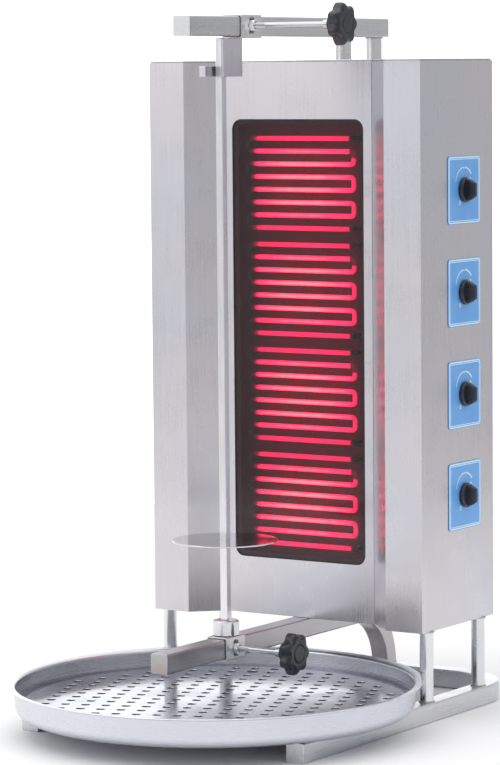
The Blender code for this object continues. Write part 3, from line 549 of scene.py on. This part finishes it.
def build_materials():
    """One finish for each material slot, and the few extra ones that single pieces need."""
    nuts = [middle(f"{side}_clamp_nut") for side in CARRIAGES]
    arm_end = Vector((0.0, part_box("lower_arm_cap")[0].y, middle("lower_arm_cap").z))
    steel("satin_steel", (0.69, 0.665, 0.69), (0.64, 0.645, 0.7), 0.3, streak=0.045, grain_bump=0.05)
    steel("tube_steel", (0.7, 0.7, 0.71), (0.6, 0.62, 0.66), 0.3, grain=(420.0, 12.0, 420.0))
    steel("post_steel", (0.78, 0.78, 0.79), (0.72, 0.73, 0.76), 0.2, grain=(60.0, 60.0, 900.0),
          streak=0.05)
    steel("polished_steel", (0.8, 0.8, 0.81), (0.75, 0.76, 0.79), 0.22, grain=(300.0, 300.0, 16.0),
          streak=0.06)
    steel("rod_steel", (0.56, 0.55, 0.56), (0.5, 0.5, 0.53), 0.2, grain=(900.0, 90.0, 90.0),
          streak=0.05)
    steel("disc_steel", (0.78, 0.78, 0.79), (0.74, 0.75, 0.78), 0.1, grain=(700.0, 1.0, 30.0),
          spun_about=middle("spit_disc"), streak=0.04, grain_bump=0.04)
    steel("tray_steel", (0.7, 0.71, 0.76), (0.65, 0.67, 0.73), 0.27, grain=(420.0, 1.0, 420.0),
          spun_about=middle("drip_tray"), streak=0.03, grain_bump=0.03, smudge=0.02)
    steel("insert_steel", (0.5, 0.52, 0.56), (0.44, 0.46, 0.51), 0.14, grain=(14.0, 260.0, 14.0),
          streak=0.04, grain_bump=0.03)
    steel("pad_brass", (0.72, 0.55, 0.27), (0.66, 0.5, 0.25), 0.32, grain=(900.0, 90.0, 90.0))
    burnt_steel("welded_steel", [arm_end], 0.05, (0.5, 0.485, 0.5), 0.3, (420.0, 12.0, 420.0), 0.36)
    burnt_steel("sleeve_steel", nuts, 0.012, (0.74, 0.74, 0.75), 0.26, (420.0, 30.0, 420.0))
    burnt_steel("weld_metal", nuts, 0.03, (0.42, 0.4, 0.39), 0.38, (200.0, 200.0, 200.0))
    plastic("knob_black", (0.012, 0.014, 0.022), (0.026, 0.029, 0.042), 0.24)
    plastic("case_black", (0.03, 0.03, 0.032), (0.055, 0.055, 0.058), 0.55)
    printed("label_blue", (0.125, 0.39, 0.84), (0.16, 0.43, 0.88), 0.34)
    printed("label_white", (0.66, 0.9, 1.0), (0.74, 0.94, 1.0), 0.4)
    printed("pointer_white", (0.86, 0.88, 0.92), (0.92, 0.93, 0.95), 0.4)
    # painted light: the element carrier's maroon colours stand for the red glow of the elements falling on it
    rough_board("heat_board", (0.13, 0.014, 0.026), (0.19, 0.022, 0.04), 0.75)
    rough_board("terminal_ceramic", (0.7, 0.67, 0.6), (0.8, 0.78, 0.72), 0.6)
    dark_glass()
    braided_cord()
    glow()


# ---- stand and arms
def build_cap(name, node, end, inward, axis_centre, finish):
    """Closing plate of a square tube, its outer face where the CAD cap has it."""
    outline = round_square(tube_half(), TUBE_CORNER)
    bm = bmesh.new()
    add_skin(bm, [on_plane(outline, "Y", end, axis_centre),
                  on_plane(outline, "Y", end + inward * CAP_PLATE, axis_centre)])
    make(name, bm, [finish], [node], bevel=0.0005)


def build_stand():
    half = tube_half()
    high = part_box("base_frame")[1]
    leg_x, rear_y = high.x - half, high.y - half
    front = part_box("base_end_cap_left")[0].y
    bend_x, bend_y = leg_x - BASE_BEND, rear_y - BASE_BEND
    right = [((leg_x, front + CAP_PLATE, half), (0, 1, 0))]
    steps = 28
    for step in range(steps + 1):
        across, along = polar(1.0, step / steps * QUARTER)
        point = (bend_x + BASE_BEND * across, bend_y + BASE_BEND * along, half)
        right.append((point, (-along, across, 0)))
    left = [((-p[0], p[1], p[2]), (d[0], -d[1], 0)) for p, d in reversed(right)]
    bm = bmesh.new()
    add_square_tube(bm, right + left, (0, 0, 1), half)
    make("stand_tube", bm, ["tube_steel"], ["base_frame"])
    for side, x in zip(SIDES, (-leg_x, leg_x)):
        build_cap(f"stand_cap_{side}", f"base_end_cap_{side}", front, 1, (x, half), "tube_steel")
    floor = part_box("floor_pan")[0].z
    beam_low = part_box("upper_beam")[0].z
    for row in ROWS:
        for side in SIDES:
            build_post(f"lower_post_{row}_{side}", 2 * half, floor)
        node = f"head_post_{row}"
        build_post(node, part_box(node)[0].z, beam_low)


def build_post(node, bottom, top):
    """A round post with a fillet weld where each end meets its tube or sheet."""
    low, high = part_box(node)
    centre = centre_of(node, "Z")
    radius = (high.x - low.x) / 2
    bm = bmesh.new()
    add_turned(bm, [(radius, bottom), (radius, top)], "Z", centre, 48)
    for height in (bottom + 0.0004, top - 0.0004):
        add_bead(bm, on_plane(circle(radius + 0.0004, 36), "Z", height, centre), BEAD_RADIUS, finish=1)
    make(f"{node}_turned", bm, ["post_steel", "weld_metal"], [node])


def build_arms():
    half = tube_half()
    arm_z = middle("lower_arm_cap").z
    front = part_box("lower_arm_cap")[0].y
    leg_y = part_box("base_frame")[1].y - half
    bend = arm_z - 2 * half
    stations = [((0, front + CAP_PLATE, arm_z), (0, 1, 0))]
    steps = 32
    for step in range(steps + 1):
        along, down = polar(1.0, step / steps * QUARTER)
        point = (0, leg_y - bend + bend * down, arm_z - bend + bend * along)
        stations.append((point, (0, along, -down)))
    bm = bmesh.new()
    add_square_tube(bm, stations, (1, 0, 0), half)
    for x in (-half, half):
        run = [(x, leg_y - half * 0.9 + half * 1.8 * i / 14, 2 * half) for i in range(15)]
        add_bead(bm, run, BEAD_RADIUS, closed=False, finish=1)
    make("bent_arm", bm, ["welded_steel", "weld_metal"], ["lower_arm"])
    build_cap("bent_arm_cap", "lower_arm_cap", front, 1, (0, arm_z), "welded_steel")

    beam_z = middle("upper_beam").z
    tube_ends = []
    for end, face, inward in (("front", 0, 1), ("rear", 1, -1)):
        node = f"upper_beam_cap_{end}"
        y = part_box(node)[face].y
        build_cap(f"head_beam_cap_{end}", node, y, inward, (0, beam_z), "tube_steel")
        tube_ends.append(((0, y + inward * CAP_PLATE, beam_z), (0, 1, 0)))
    bm = bmesh.new()
    add_square_tube(bm, tube_ends, (1, 0, 0), half)
    make("head_beam", bm, ["tube_steel"], ["upper_beam"])


# ---- cabinet
GLASS_CORNER = 0.013


def build_cabinet():
    for node in ("casing_left", "casing_right", "back_cover"):
        eased_copy(node, "satin_steel", 0.0004, fold_width=0.0011)
    eased_copy("roof_cover", "satin_steel", 0.0005)
    eased_copy("floor_pan", "satin_steel", 0.0004)
    build_heater_panel()
    build_back_screws()
    build_gland()


def window_loops(low, high, radius, steps, rows):
    """Rounded outlines around a box; rows are (height, how far the outline stands outside)."""
    loops = []
    for height, out in rows:
        outline = round_rectangle((low.x - out, low.z - out), (high.x + out, high.z + out),
                                  radius + out, steps)
        loops.append(on_plane(outline, "Y", height))
    return loops


def build_heater_panel():
    low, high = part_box("heater_panel")
    glass_low, glass_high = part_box("glass_panel")
    ease = 0.0004
    outer = window_loops(low, high, 0.0006, 3, [(low.y, -0.0003), (low.y + 0.0003, 0.0), (high.y, 0.0)])
    window = window_loops(glass_low, glass_high, GLASS_CORNER, 14,
                          [(low.y, 2 * ease), (low.y + ease * 0.4, 1.3 * ease), (low.y + ease, ease),
                           (high.y, ease)])
    bm = bmesh.new()
    add_plate(bm, outer, [window])
    make("heater_panel_plate", bm, ["satin_steel"], ["heater_panel"], sharp=30)

    rows = [(glass_low.y, -0.0009), (glass_low.y + 0.0002, -0.0004), (glass_low.y + 0.0006, 0.0),
            (glass_high.y - 0.0006, 0.0), (glass_high.y, -0.0006)]
    bm = bmesh.new()
    add_skin(bm, window_loops(glass_low, glass_high, GLASS_CORNER, 14, rows))
    make("heater_glass", bm, ["dark_glass"], ["glass_panel"], sharp=15)


def cross_outline(reach, arm, sides):
    """Outline of a cross slot, on the same rays as circle()."""
    points = []
    for x, y in circle(1.0, sides):
        x_size, y_size = max(abs(x), 1e-6), max(abs(y), 1e-6)
        radius = max(min(reach / x_size, arm / y_size), min(arm / x_size, reach / y_size))
        points.append((x * radius, y * radius))
    return points


def add_screw(bm, axis, at, outward, centre):
    """A pan-head screw with a cross slot; `at` is the height of the sheet it sits on."""
    sides = 48
    dome = [(0.0036, 0.0), (0.0037, 0.0004), (0.0034, 0.0012), (0.0027, 0.0019), (0.0021, 0.0022)]
    loops = rounds([(r, at + outward * height) for r, height in dome], axis, centre, sides)
    for reach, arm, height in ((0.0017, 0.0005, 0.00225), (0.0013, 0.0004, 0.0009)):
        loops.append(on_plane(cross_outline(reach, arm, sides), axis, at + outward * height, centre))
    add_skin(bm, loops)


def build_back_screws():
    """Rows of screws that hold the back cover's side flanges to the casings."""
    low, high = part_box("back_cover")
    flange_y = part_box("casing_right")[1].y + 0.0003 + SHEET
    bm = bmesh.new()
    for side in (-1, 1):
        for share in (0.05, 0.35, 0.65, 0.95):
            z = low.z + share * (high.z - low.z)
            add_screw(bm, "Y", flange_y, 1, (middle("back_cover").x + side * (high.x - 0.012), z))
    make_extra("back_cover_screws", bm, ["polished_steel"], "cabinet")


def hex_outline(across_flats, limit, sides, phase=0.0):
    """A hexagon whose corners are turned down to a limit radius."""
    def radius_at(angle):
        turn = (angle + phase + math.pi / 6) % (math.pi / 3) - math.pi / 6
        return min(across_flats / 2 / math.cos(turn), limit)

    return wavy(radius_at, sides)


def build_gland():
    """A cable gland: hexagon collar, ribbed domed nut and an open throat."""
    low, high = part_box("cable_gland")
    place = centre_of("cable_gland", "Y")
    face, end = high.y - 0.011, high.y
    sides = 72
    corner = (high.x - low.x) / 2
    loops = rounds([(0.0098, low.y), (0.0098, face)], "Y", place, sides)
    for height, limit in ((face, corner - 0.0008), (face + 0.0006, corner), (face + 0.0036, corner),
                          (face + 0.0042, corner - 0.0008)):
        loops.append(on_plane(hex_outline(0.0225, limit, sides), "Y", height, place))
    for height, scale in ((face + 0.0042, 1.0), (face + 0.0078, 0.97), (face + 0.0096, 0.88),
                          (end - 0.0004, 0.8)):
        ribs = wavy(lambda angle: scale * (0.0105 + 0.0002 * math.cos(12 * angle)), sides)
        loops.append(on_plane(ribs, "Y", height, place))
    loops += rounds([(0.0072, end), (0.0056, end - 0.0004), (0.0052, end - 0.003), (0.0052, low.y)],
                    "Y", place, sides)
    bm = bmesh.new()
    add_skin(bm, loops, ring=True)
    make("cable_gland_turned", bm, ["case_black"], ["cable_gland"], sharp=28)


# ---- heater elements
def element_route(zone):
    """Points of one serpentine, from its upper terminal leg down to its lower one."""
    low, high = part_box(f"heater_element_{zone}")
    top, bottom = high.z - ELEMENT_RADIUS, low.z + ELEMENT_RADIUS
    pitch = (top - bottom) / (ELEMENT_PASSES - 1)
    ends = {-1: -low.x - pitch / 2 - ELEMENT_RADIUS, 1: high.x - pitch / 2 - ELEMENT_RADIUS}
    y = low.y + ELEMENT_RADIUS
    terminal = ends[1] + ELEMENT_LEAD
    leg = [(terminal, high.y), (terminal, y + ELEMENT_LEAD),
           (terminal - ELEMENT_LEAD * 0.3, y + ELEMENT_LEAD * 0.3)]
    route = [(x, depth, top) for x, depth in leg]
    for index in range(ELEMENT_PASSES):
        z = top - index * pitch
        side = -1 if index % 2 == 0 else 1
        route += [(-side * ends[-side], y, z), (0.0, y, z), (side * ends[side], y, z)]
        if index < ELEMENT_PASSES - 1:
            route += turn_points(side, ends[side], y, z, pitch)
    route += [(x, depth, bottom) for x, depth in reversed(leg)]
    return route


def turn_points(side, half, y, z, pitch):
    """A bend down to the next pass; the right-hand ones are squarer."""
    corner = pitch * (0.5 if side < 0 else 0.26)
    points = []
    for centre_z, first in ((z - corner, 0.0), (z - pitch + corner, QUARTER)):
        for step in range(7):
            angle = first + step / 6 * QUARTER
            x = side * (half + pitch / 2 - corner + corner * math.sin(angle))
            points.append((x, y, centre_z + corner * math.cos(angle)))
    return points


def build_elements():
    for zone in ZONES:
        route = element_route(zone)
        loops = []
        for i, point in enumerate(route):
            ahead = Vector(route[min(i + 1, len(route) - 1)])
            behind = Vector(route[max(i - 1, 0)])
            along = (ahead - behind).normalized()
            side = along.cross(Vector((0.0, 1.0, 0.0)))
            if side.length < 0.3:
                side = Vector((0.0, 0.0, 1.0))
            side.normalize()
            front = side.cross(along).normalized()
            if front.y > 0:
                front, side = -front, -side
            loops.append([Vector(point) + side * u + front * v for u, v in circle(ELEMENT_RADIUS, 18)])
        bm = bmesh.new()
        add_skin(bm, loops)
        make(f"glowing_element_{zone}", bm, ["element_glow"], [f"heater_element_{zone}"])


# ---- controls
def add_inlay(bm, outer, inner, span, centre, finish):
    """A flat printed ring between two outlines, a hair proud of the plate."""
    base, top = span
    add_skin(bm, [on_plane(outer, "X", base, centre), on_plane(outer, "X", top, centre),
                  on_plane(inner, "X", top, centre), on_plane(inner, "X", base, centre)],
             ring=True, finish=finish)


def add_strip(bm, stations, span, centre, finish):
    """A printed line through (inner point, outer point) stations."""
    base, top = span
    loops = []
    for inner, outer in stations:
        pairs = [(base, inner), (top, inner), (top, outer), (base, outer)]
        loops.append([(x, u + centre[0], v + centre[1]) for x, (u, v) in pairs])
    add_skin(bm, loops, finish=finish)


def add_dial(bm, span, centre):
    """The printed scale: a line that thickens as it runs clockwise, a dot and a zero."""
    radius, rise = 0.0225, 0.0062
    stations = []
    for step in range(49):
        share = step / 48
        angle = math.radians(170.0 - 132.0 * share)
        half = 0.00045 + 0.00065 * share
        pair = [polar(radius + side * half, angle) for side in (-1, 1)]
        stations.append([(across, rise + up) for across, up in pair])
    add_strip(bm, stations, span, centre, 1)
    top = rise + radius
    tick = [((0.0, top - 0.0026), (0.0001, top - 0.0026)), ((-0.0013, top + 0.001), (0.0013, top + 0.001))]
    add_strip(bm, tick, span, centre, 1)
    dot = [(0.0021, height) for height in span]
    add_skin(bm, rounds(dot, "X", (centre[0] + 0.015, centre[1] + 0.0137), 28), finish=1)
    zero = (centre[0] - 0.0115, centre[1] - 0.016)
    outer, inner = ([(wide * x, tall * y) for x, y in circle(1.0, 28)]
                    for wide, tall in ((0.0021, 0.0031), (0.0009, 0.0018)))
    add_inlay(bm, outer, inner, span, zero, 1)


def build_control_plate(zone):
    node = f"control_plate_{zone}"
    low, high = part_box(node)
    centre = centre_of(node, "X")
    wide, tall = (high.y - low.y) / 2, (high.z - low.z) / 2
    face = high.x - 0.0001

    def frame_line(margin):
        return round_rectangle((margin - wide, margin - tall), (wide - margin, tall - margin),
                               max(0.005 - margin * 0.6, 0.0022), 8)

    rows = [on_plane(frame_line(margin), "X", height, centre)
            for margin, height in ((0.0002, face), (0.0, face - 0.0002), (0.0, low.x))]
    bm = bmesh.new()
    add_plate(bm, rows, [rounds([(0.0055, face), (0.0055, low.x)], "X", centre, 28)])
    span = (face - 0.0001, high.x)
    for outer, inner in ((0.001, 0.0027), (0.0036, 0.0046)):
        add_inlay(bm, frame_line(outer), frame_line(inner), span, centre, 1)
    add_dial(bm, span, centre)
    make(f"zone_plate_{zone}", bm, ["label_blue", "label_white"], [node], sharp=30)


def build_control_knob(zone):
    node = f"control_knob_{zone}"
    low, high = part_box(node)
    centre = centre_of(node, "X")
    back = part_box(f"control_plate_{zone}")[1].x + 0.0007
    radius = (high.y - low.y) / 2
    bm = bmesh.new()
    skirt = [(0.0036, low.x), (0.0036, back), (radius - 0.0004, back), (radius, back + 0.0005),
             (radius, back + 0.0028)]
    skirt += arc(radius - 0.0022, back + 0.0028, 0.0022, 0.0, math.radians(72), 6)
    skirt += [(radius - 0.0042, back + 0.0054), (0.002, back + 0.0055)]
    add_turned(bm, skirt, "X", centre, 96)
    loops = []
    grip = high.x - back
    for height, wide, tall in ((0.002, 0.0047, 0.0146), (0.006, 0.0046, 0.0141), (0.011, 0.0043, 0.0122),
                               (grip - 0.0022, 0.004, 0.0103), (grip - 0.0009, 0.0036, 0.0095),
                               (grip - 0.0002, 0.0028, 0.0084), (grip, 0.002, 0.0074)):
        outline = round_rectangle((-wide, -tall), (wide, tall), wide * 0.7, 8)
        loops.append(on_plane(outline, "X", back + height, centre))
    add_skin(bm, loops)
    mark = [(0.0011, back + 0.004), (0.0011, back + 0.0053), (0.0008, back + 0.0056)]
    add_skin(bm, rounds(mark, "X", (centre[0], centre[1] + 0.0136), 24), finish=1)
    make(f"zone_knob_{zone}_moulding", bm, ["knob_black", "pointer_white"], [node], sharp=40)


# ---- carriages and clamps
STAR_LOBES = 7
STAR_SIDES = STAR_LOBES * 14
THREAD_PITCH = 0.00125
NUT_FLATS = 0.013


def build_nut(side):
    node = f"{side}_clamp_nut"
    low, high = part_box(node)
    centre = centre_of(node, "X")
    corner = NUT_FLATS / 2 / math.cos(math.pi / 6)
    sides = 72
    loops = []
    for x, limit in ((low.x, 0.0066), (low.x + 0.0005, corner), (high.x - 0.001, corner),
                     (high.x - 0.0003, 0.0067), (high.x, 0.0062)):
        loops.append(on_plane(hex_outline(NUT_FLATS, limit, sides, math.pi / 6), "X", x, centre))
    loops += rounds([(0.005, high.x), (0.0044, high.x - 0.0006), (0.0044, low.x)], "X", centre, sides)
    bm = bmesh.new()
    add_skin(bm, loops, ring=True)
    for turn in (-1, 1):
        add_blob(bm, (low.x + 0.0008, centre[0] + turn * 0.0004, centre[1] + turn * 0.0083),
                 (0.0011, 0.0034, 0.0022), finish=1)
    make(f"{side}_nut_welded", bm, ["polished_steel", "weld_metal"], [node])


def thread_rows(start, end, crest, root, centre, sides):
    """Rows of a rolled thread that starts at a tapered tip and runs out into a plain shank."""
    rows = []
    count = int((end - start) / THREAD_PITCH * 8)
    for k in range(count + 1):
        x = start + (end - start) * k / count
        lead_in = min(1.0, (x - start) / 0.0012)
        run_out = min(1.0, (end - x) / 0.001)

        def radius_at(angle):
            wave = abs(2.0 * ((x / THREAD_PITCH - angle / math.pi / 2) % 1.0) - 1.0)
            radius = crest - (crest - root) * (1.0 - min(1.0, wave * 1.2)) * run_out
            return radius - (radius - 0.003) * (1.0 - lead_in)

        rows.append(on_plane(wavy(radius_at, sides), "X", x, centre))
    return rows


def build_clamp(side):
    build_nut(side)
    node = f"{side}_clamp_screw"
    low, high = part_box(node)
    centre = centre_of(node, "X")
    rod_end, crest = high.x - 0.0077, 0.0038
    thread_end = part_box(f"{side}_clamp_nut")[1].x + 0.015
    rows = thread_rows(low.x, thread_end, crest, 0.0032, centre, 36)
    rows += rounds([(crest, rod_end - 0.0002), (0.0054, rod_end), (0.006, rod_end + 0.0005),
                    (0.006, high.x - 0.0006), (0.0054, high.x)], "X", centre, 36)
    bm = bmesh.new()
    add_skin(bm, rows)
    make(f"{side}_threaded_rod", bm, ["rod_steel"], [node], sharp=50)

    node = f"{side}_clamp_pad"
    low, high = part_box(node)
    pad = [(0.0028, low.x), (0.0034, low.x + 0.0003), (0.0036, low.x + 0.0009),
           (0.0036, high.x - 0.0003), (0.0033, high.x)]
    make_turned(f"{side}_turned_pad", node, "X", pad, 40, "pad_brass")
    build_star(side, centre)


def build_star(side, centre):
    """Star knob: a round collar, a seven-lobed grip and a ring in its face."""
    node = f"{side}_star_knob"
    low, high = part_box(node)
    tip = high.y - centre[0]
    collar = ((0.0086, 0.0), (0.0096, 0.0007), (0.01, 0.003), (0.01, 0.009), (0.0103, 0.0099),
              (0.0113, 0.0105))
    grip = ((0.9, 0.0107), (0.955, 0.0112), (0.99, 0.0122), (1.0, 0.0136), (1.0, 0.0196), (0.993, 0.0212),
            (0.975, 0.0226), (0.94, 0.0239), (0.89, 0.0249), (0.82, 0.0256), (0.74, 0.0259))
    face = ((0.0132, 0.0258), (0.0124, 0.0254), (0.0119, 0.0248), (0.0115, 0.025), (0.0112, 0.0257),
            (0.0106, 0.0261), (0.0096, 0.0262), (0.004, 0.0262))
    loops = rounds([(r, low.x + height) for r, height in collar], "X", centre, STAR_SIDES)
    for scale, height in grip:
        lobes = wavy(lambda angle: scale * (tip - 0.0046 * (0.5 - 0.5 * math.cos(STAR_LOBES * angle))),
                     STAR_SIDES)
        loops.append(on_plane(lobes, "X", low.x + height, centre))
    loops += rounds([(r, low.x + height) for r, height in face], "X", centre, STAR_SIDES)
    bm = bmesh.new()
    add_skin(bm, loops)
    make(f"{side}_star_grip", bm, ["knob_black"], [node], sharp=42)


def build_carriages():
    for side in CARRIAGES:
        eased_copy(f"{side}_sleeve", "sleeve_steel", 0.0004)
        build_clamp(side)
    eased_copy("spit_head_bracket", "satin_steel", 0.0004)
    low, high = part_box("spit_cup")
    radius, bore, floor = (high.x - low.x) / 2, 0.0055, low.z + 0.0085
    cup = [(radius - 0.0014, low.z), (radius - 0.0006, low.z + 0.0003), (radius, low.z + 0.001),
           (radius, high.z - 0.002), (radius - 0.0005, high.z - 0.001),
           (radius - 0.0014, high.z - 0.0003), (radius - 0.0024, high.z), (0.0092, high.z),
           (0.0086, high.z - 0.0003), (bore, high.z - 0.0035), (bore, floor)]
    make_turned("spit_cup_turned", "spit_cup", "Z", cup, 80, "polished_steel")


# ---- spit
def build_spit():
    eased_copy("spit_rod", "polished_steel", 0.0003)
    low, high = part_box("disc_pin")
    head = high.x - 0.002
    pin = [(0.0012, low.x), (0.0018, low.x + 0.0002), (0.002, low.x + 0.0007), (0.002, head),
           (0.0032, head), (0.0035, head + 0.0003), (0.0035, high.x - 0.0006),
           (0.003, high.x - 0.0001), (0.002, high.x)]
    make_turned("disc_pin_turned", "disc_pin", "X", pin, 40, "polished_steel")

    low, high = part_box("spit_disc")
    place, radius = centre_of("spit_disc", "Z"), (high.x - low.x) / 2
    edge = [(radius - 0.0007, high.z), (radius - 0.0002, high.z - 0.0002), (radius, high.z - 0.0006),
            (radius, low.z + 0.0006), (radius - 0.0002, low.z + 0.0002), (radius - 0.0007, low.z)]
    hole = [on_plane(round_square(half, 0.0006), "Z", z, place)
            for half, z in ((0.0056, high.z), (0.0054, high.z - 0.0003), (0.0054, low.z))]
    bm = bmesh.new()
    add_plate(bm, rounds(edge, "Z", place, 160), [hole])
    make("loading_disc_plate", bm, ["disc_steel"], ["spit_disc"], sharp=30)


# ---- drip pan
HOLE_PITCH = 0.026
HOLE_RADIUS = 0.0057
LATTICE_TURN = math.radians(21.0)
LATTICE_PHASE = (0.18, 0.46)
FINGER_HOLE = (-0.0663, 0.1884)     # from the insert's middle


def build_pan():
    low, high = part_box("drip_tray")
    wall, corner = high.x - 0.0105, 0.014
    outside = arc(wall - corner, low.z + corner, corner, -QUARTER, 0.0, 12)
    inside = arc(wall - corner, low.z + corner, corner - SHEET, 0.0, -QUARTER, 12)
    lip = [(0.0, -0.0055), (0.0003, -0.004), (0.0011, -0.0028), (0.0025, -0.0021), (0.008, -0.0014),
           (0.0101, -0.0012), (0.0105, -0.0009), (0.0105, -0.0003), (0.0102, 0.0), (0.008, -0.0002),
           (0.002, -0.0009), (0.0, -0.0019), (-0.0009, -0.0032), (-0.0012, -0.0046),
           (-0.0012, -0.006)]
    rim = [(wall + out, high.z + up) for out, up in lip]
    make_turned("drip_pan_spun", "drip_tray", "Z", outside + rim + inside, 224, "tray_steel", 40)


def drain_holes(limit, finger):
    """Centres of a square lattice of drain holes, turned a little, clear of the finger hole."""
    across = polar(1.0, LATTICE_TURN)
    along = (across[1], -across[0])
    centres = []
    for a in range(-12, 13):
        for b in range(-12, 13):
            u, v = a + LATTICE_PHASE[0], b + LATTICE_PHASE[1]
            x = HOLE_PITCH * (u * across[0] + v * along[0])
            y = HOLE_PITCH * (u * across[1] + v * along[1])
            if math.hypot(x, y) < limit and math.hypot(x - finger[0], y - finger[1]) > 0.019:
                centres.append((x, y))
    return centres


def build_insert():
    low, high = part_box("tray_insert")
    radius = (high.x - low.x) / 2
    place = centre_of("tray_insert", "Z")
    edge = [(radius - 0.0022, high.z), (radius - 0.0012, high.z - 0.0002), (radius - 0.0004, high.z - 0.0007),
            (radius, high.z - 0.0016), (radius, low.z), (radius - SHEET, low.z),
            (radius - SHEET, high.z - 0.0022), (radius - SHEET - 0.0009, high.z - SHEET)]
    holes = []
    openings = [(at, HOLE_RADIUS, 20) for at in drain_holes(radius - 0.012, FINGER_HOLE)]
    for at, size, sides in openings + [(FINGER_HOLE, 0.0075, 40)]:
        rim = [(size + 0.0003, high.z), (size, high.z - 0.0003), (size, high.z - SHEET)]
        holes.append(rounds(rim, "Z", (place[0] + at[0], place[1] + at[1]), sides))
    bm = bmesh.new()
    add_plate(bm, rounds(edge, "Z", place, 224), holes)
    make("perforated_insert", bm, ["insert_steel"], ["tray_insert"], sharp=40)


# ---- what keeps its CAD shape
def finish_plain_nodes():
    # the element carrier wears the board finish whose maroon is painted red glow
    plain = {"post_anchor": "post_steel", "glass_gasket": "seal_cord", "element_carrier": "heat_board",
             "terminal_strip": "terminal_ceramic"}
    plain.update({f"regulator_{zone}": "case_black" for zone in ZONES})
    for node, finish in plain.items():
        mesh = frame["nodes"][node].data
        mesh.materials.clear()
        mesh.materials.append(FINISHES[finish])


# ---- studio
FLOOR_RADIUS = 2.2
BACKDROP = (-0.545, 0.834, -0.09)   # direction that shows behind the grill


def build_floor():
    recipe = Recipe("studio_floor")
    cloud = recipe.noise(0.8, detail=2.0)
    colour = recipe.mottled(cloud, (0.92, 0.92, 0.92), (0.94, 0.94, 0.94))
    recipe.finish(colour, recipe.vary(cloud, 0.86, 0.92))
    mesh = bpy.data.meshes.new("studio_floor")
    outline = [(x, y, 0.0) for x, y in circle(FLOOR_RADIUS, 96)]
    mesh.from_pydata(outline, [], [list(range(96))])
    mesh.materials.append(recipe.material)
    floor = bpy.data.objects.new("studio_floor", mesh)
    bpy.context.scene.collection.objects.link(floor)


def build_world():
    """A pale tent, brighter on the grill's left, overhead and behind it than on its right."""
    world = bpy.data.worlds.new("studio")
    world.use_nodes = True
    nodes = Nodes(world.node_tree)
    smooth = {"interpolation_type": "SMOOTHSTEP"}
    direction = nodes.add("ShaderNodeTexCoord").outputs["Generated"]
    parts = nodes.add("ShaderNodeSeparateXYZ", {0: direction}).outputs
    behind = nodes.add("ShaderNodeVectorMath", {0: direction, 1: BACKDROP}, operation="DOT_PRODUCT")
    level = nodes.spread(parts["X"], -0.55, 0.75, 0.8, 0.56, **smooth)
    level = nodes.sum(level, nodes.spread(behind.outputs["Value"], 0.8, 0.95, 0.0, 0.75, **smooth))
    level = nodes.sum(level, nodes.spread(parts["Z"], 0.3, 0.95, 0.0, 0.62, **smooth))
    background = world.node_tree.nodes["Background"]
    nodes.feed(background.inputs["Strength"], level)
    background.inputs["Color"].default_value = (0.985, 0.982, 1.0, 1.0)
    bpy.context.scene.world = world


def add_light(name, at, towards, size, power):
    data = bpy.data.lights.new(name, "AREA")
    data.shape = "RECTANGLE"
    data.size, data.size_y = size
    data.energy = power
    light = bpy.data.objects.new(name, data)
    aim = (Vector(towards) - Vector(at)).to_track_quat("-Z", "Y")
    light.matrix_world = Matrix.Translation(at) @ aim.to_matrix().to_4x4()
    bpy.context.scene.collection.objects.link(light)


def build_studio():
    build_floor()
    build_world()
    add_light("overhead_softbox", (-0.5, -0.6, 3.2), (0.0, 0.0, 0.3), (2.4, 2.4), 16.0)
    add_light("front_softbox", (-1.8, -2.6, 1.9), (0.0, 0.0, 0.45), (1.4, 1.8), 8.0)
    bpy.context.scene.view_settings.view_transform = "Standard"


# ---- the grill
build_materials()
build_stand()
build_arms()
build_cabinet()
build_elements()
for zone in ZONES:
    build_control_plate(zone)
    build_control_knob(zone)
build_carriages()
build_spit()
build_pan()
build_insert()
finish_plain_nodes()
build_studio()
build_camera()
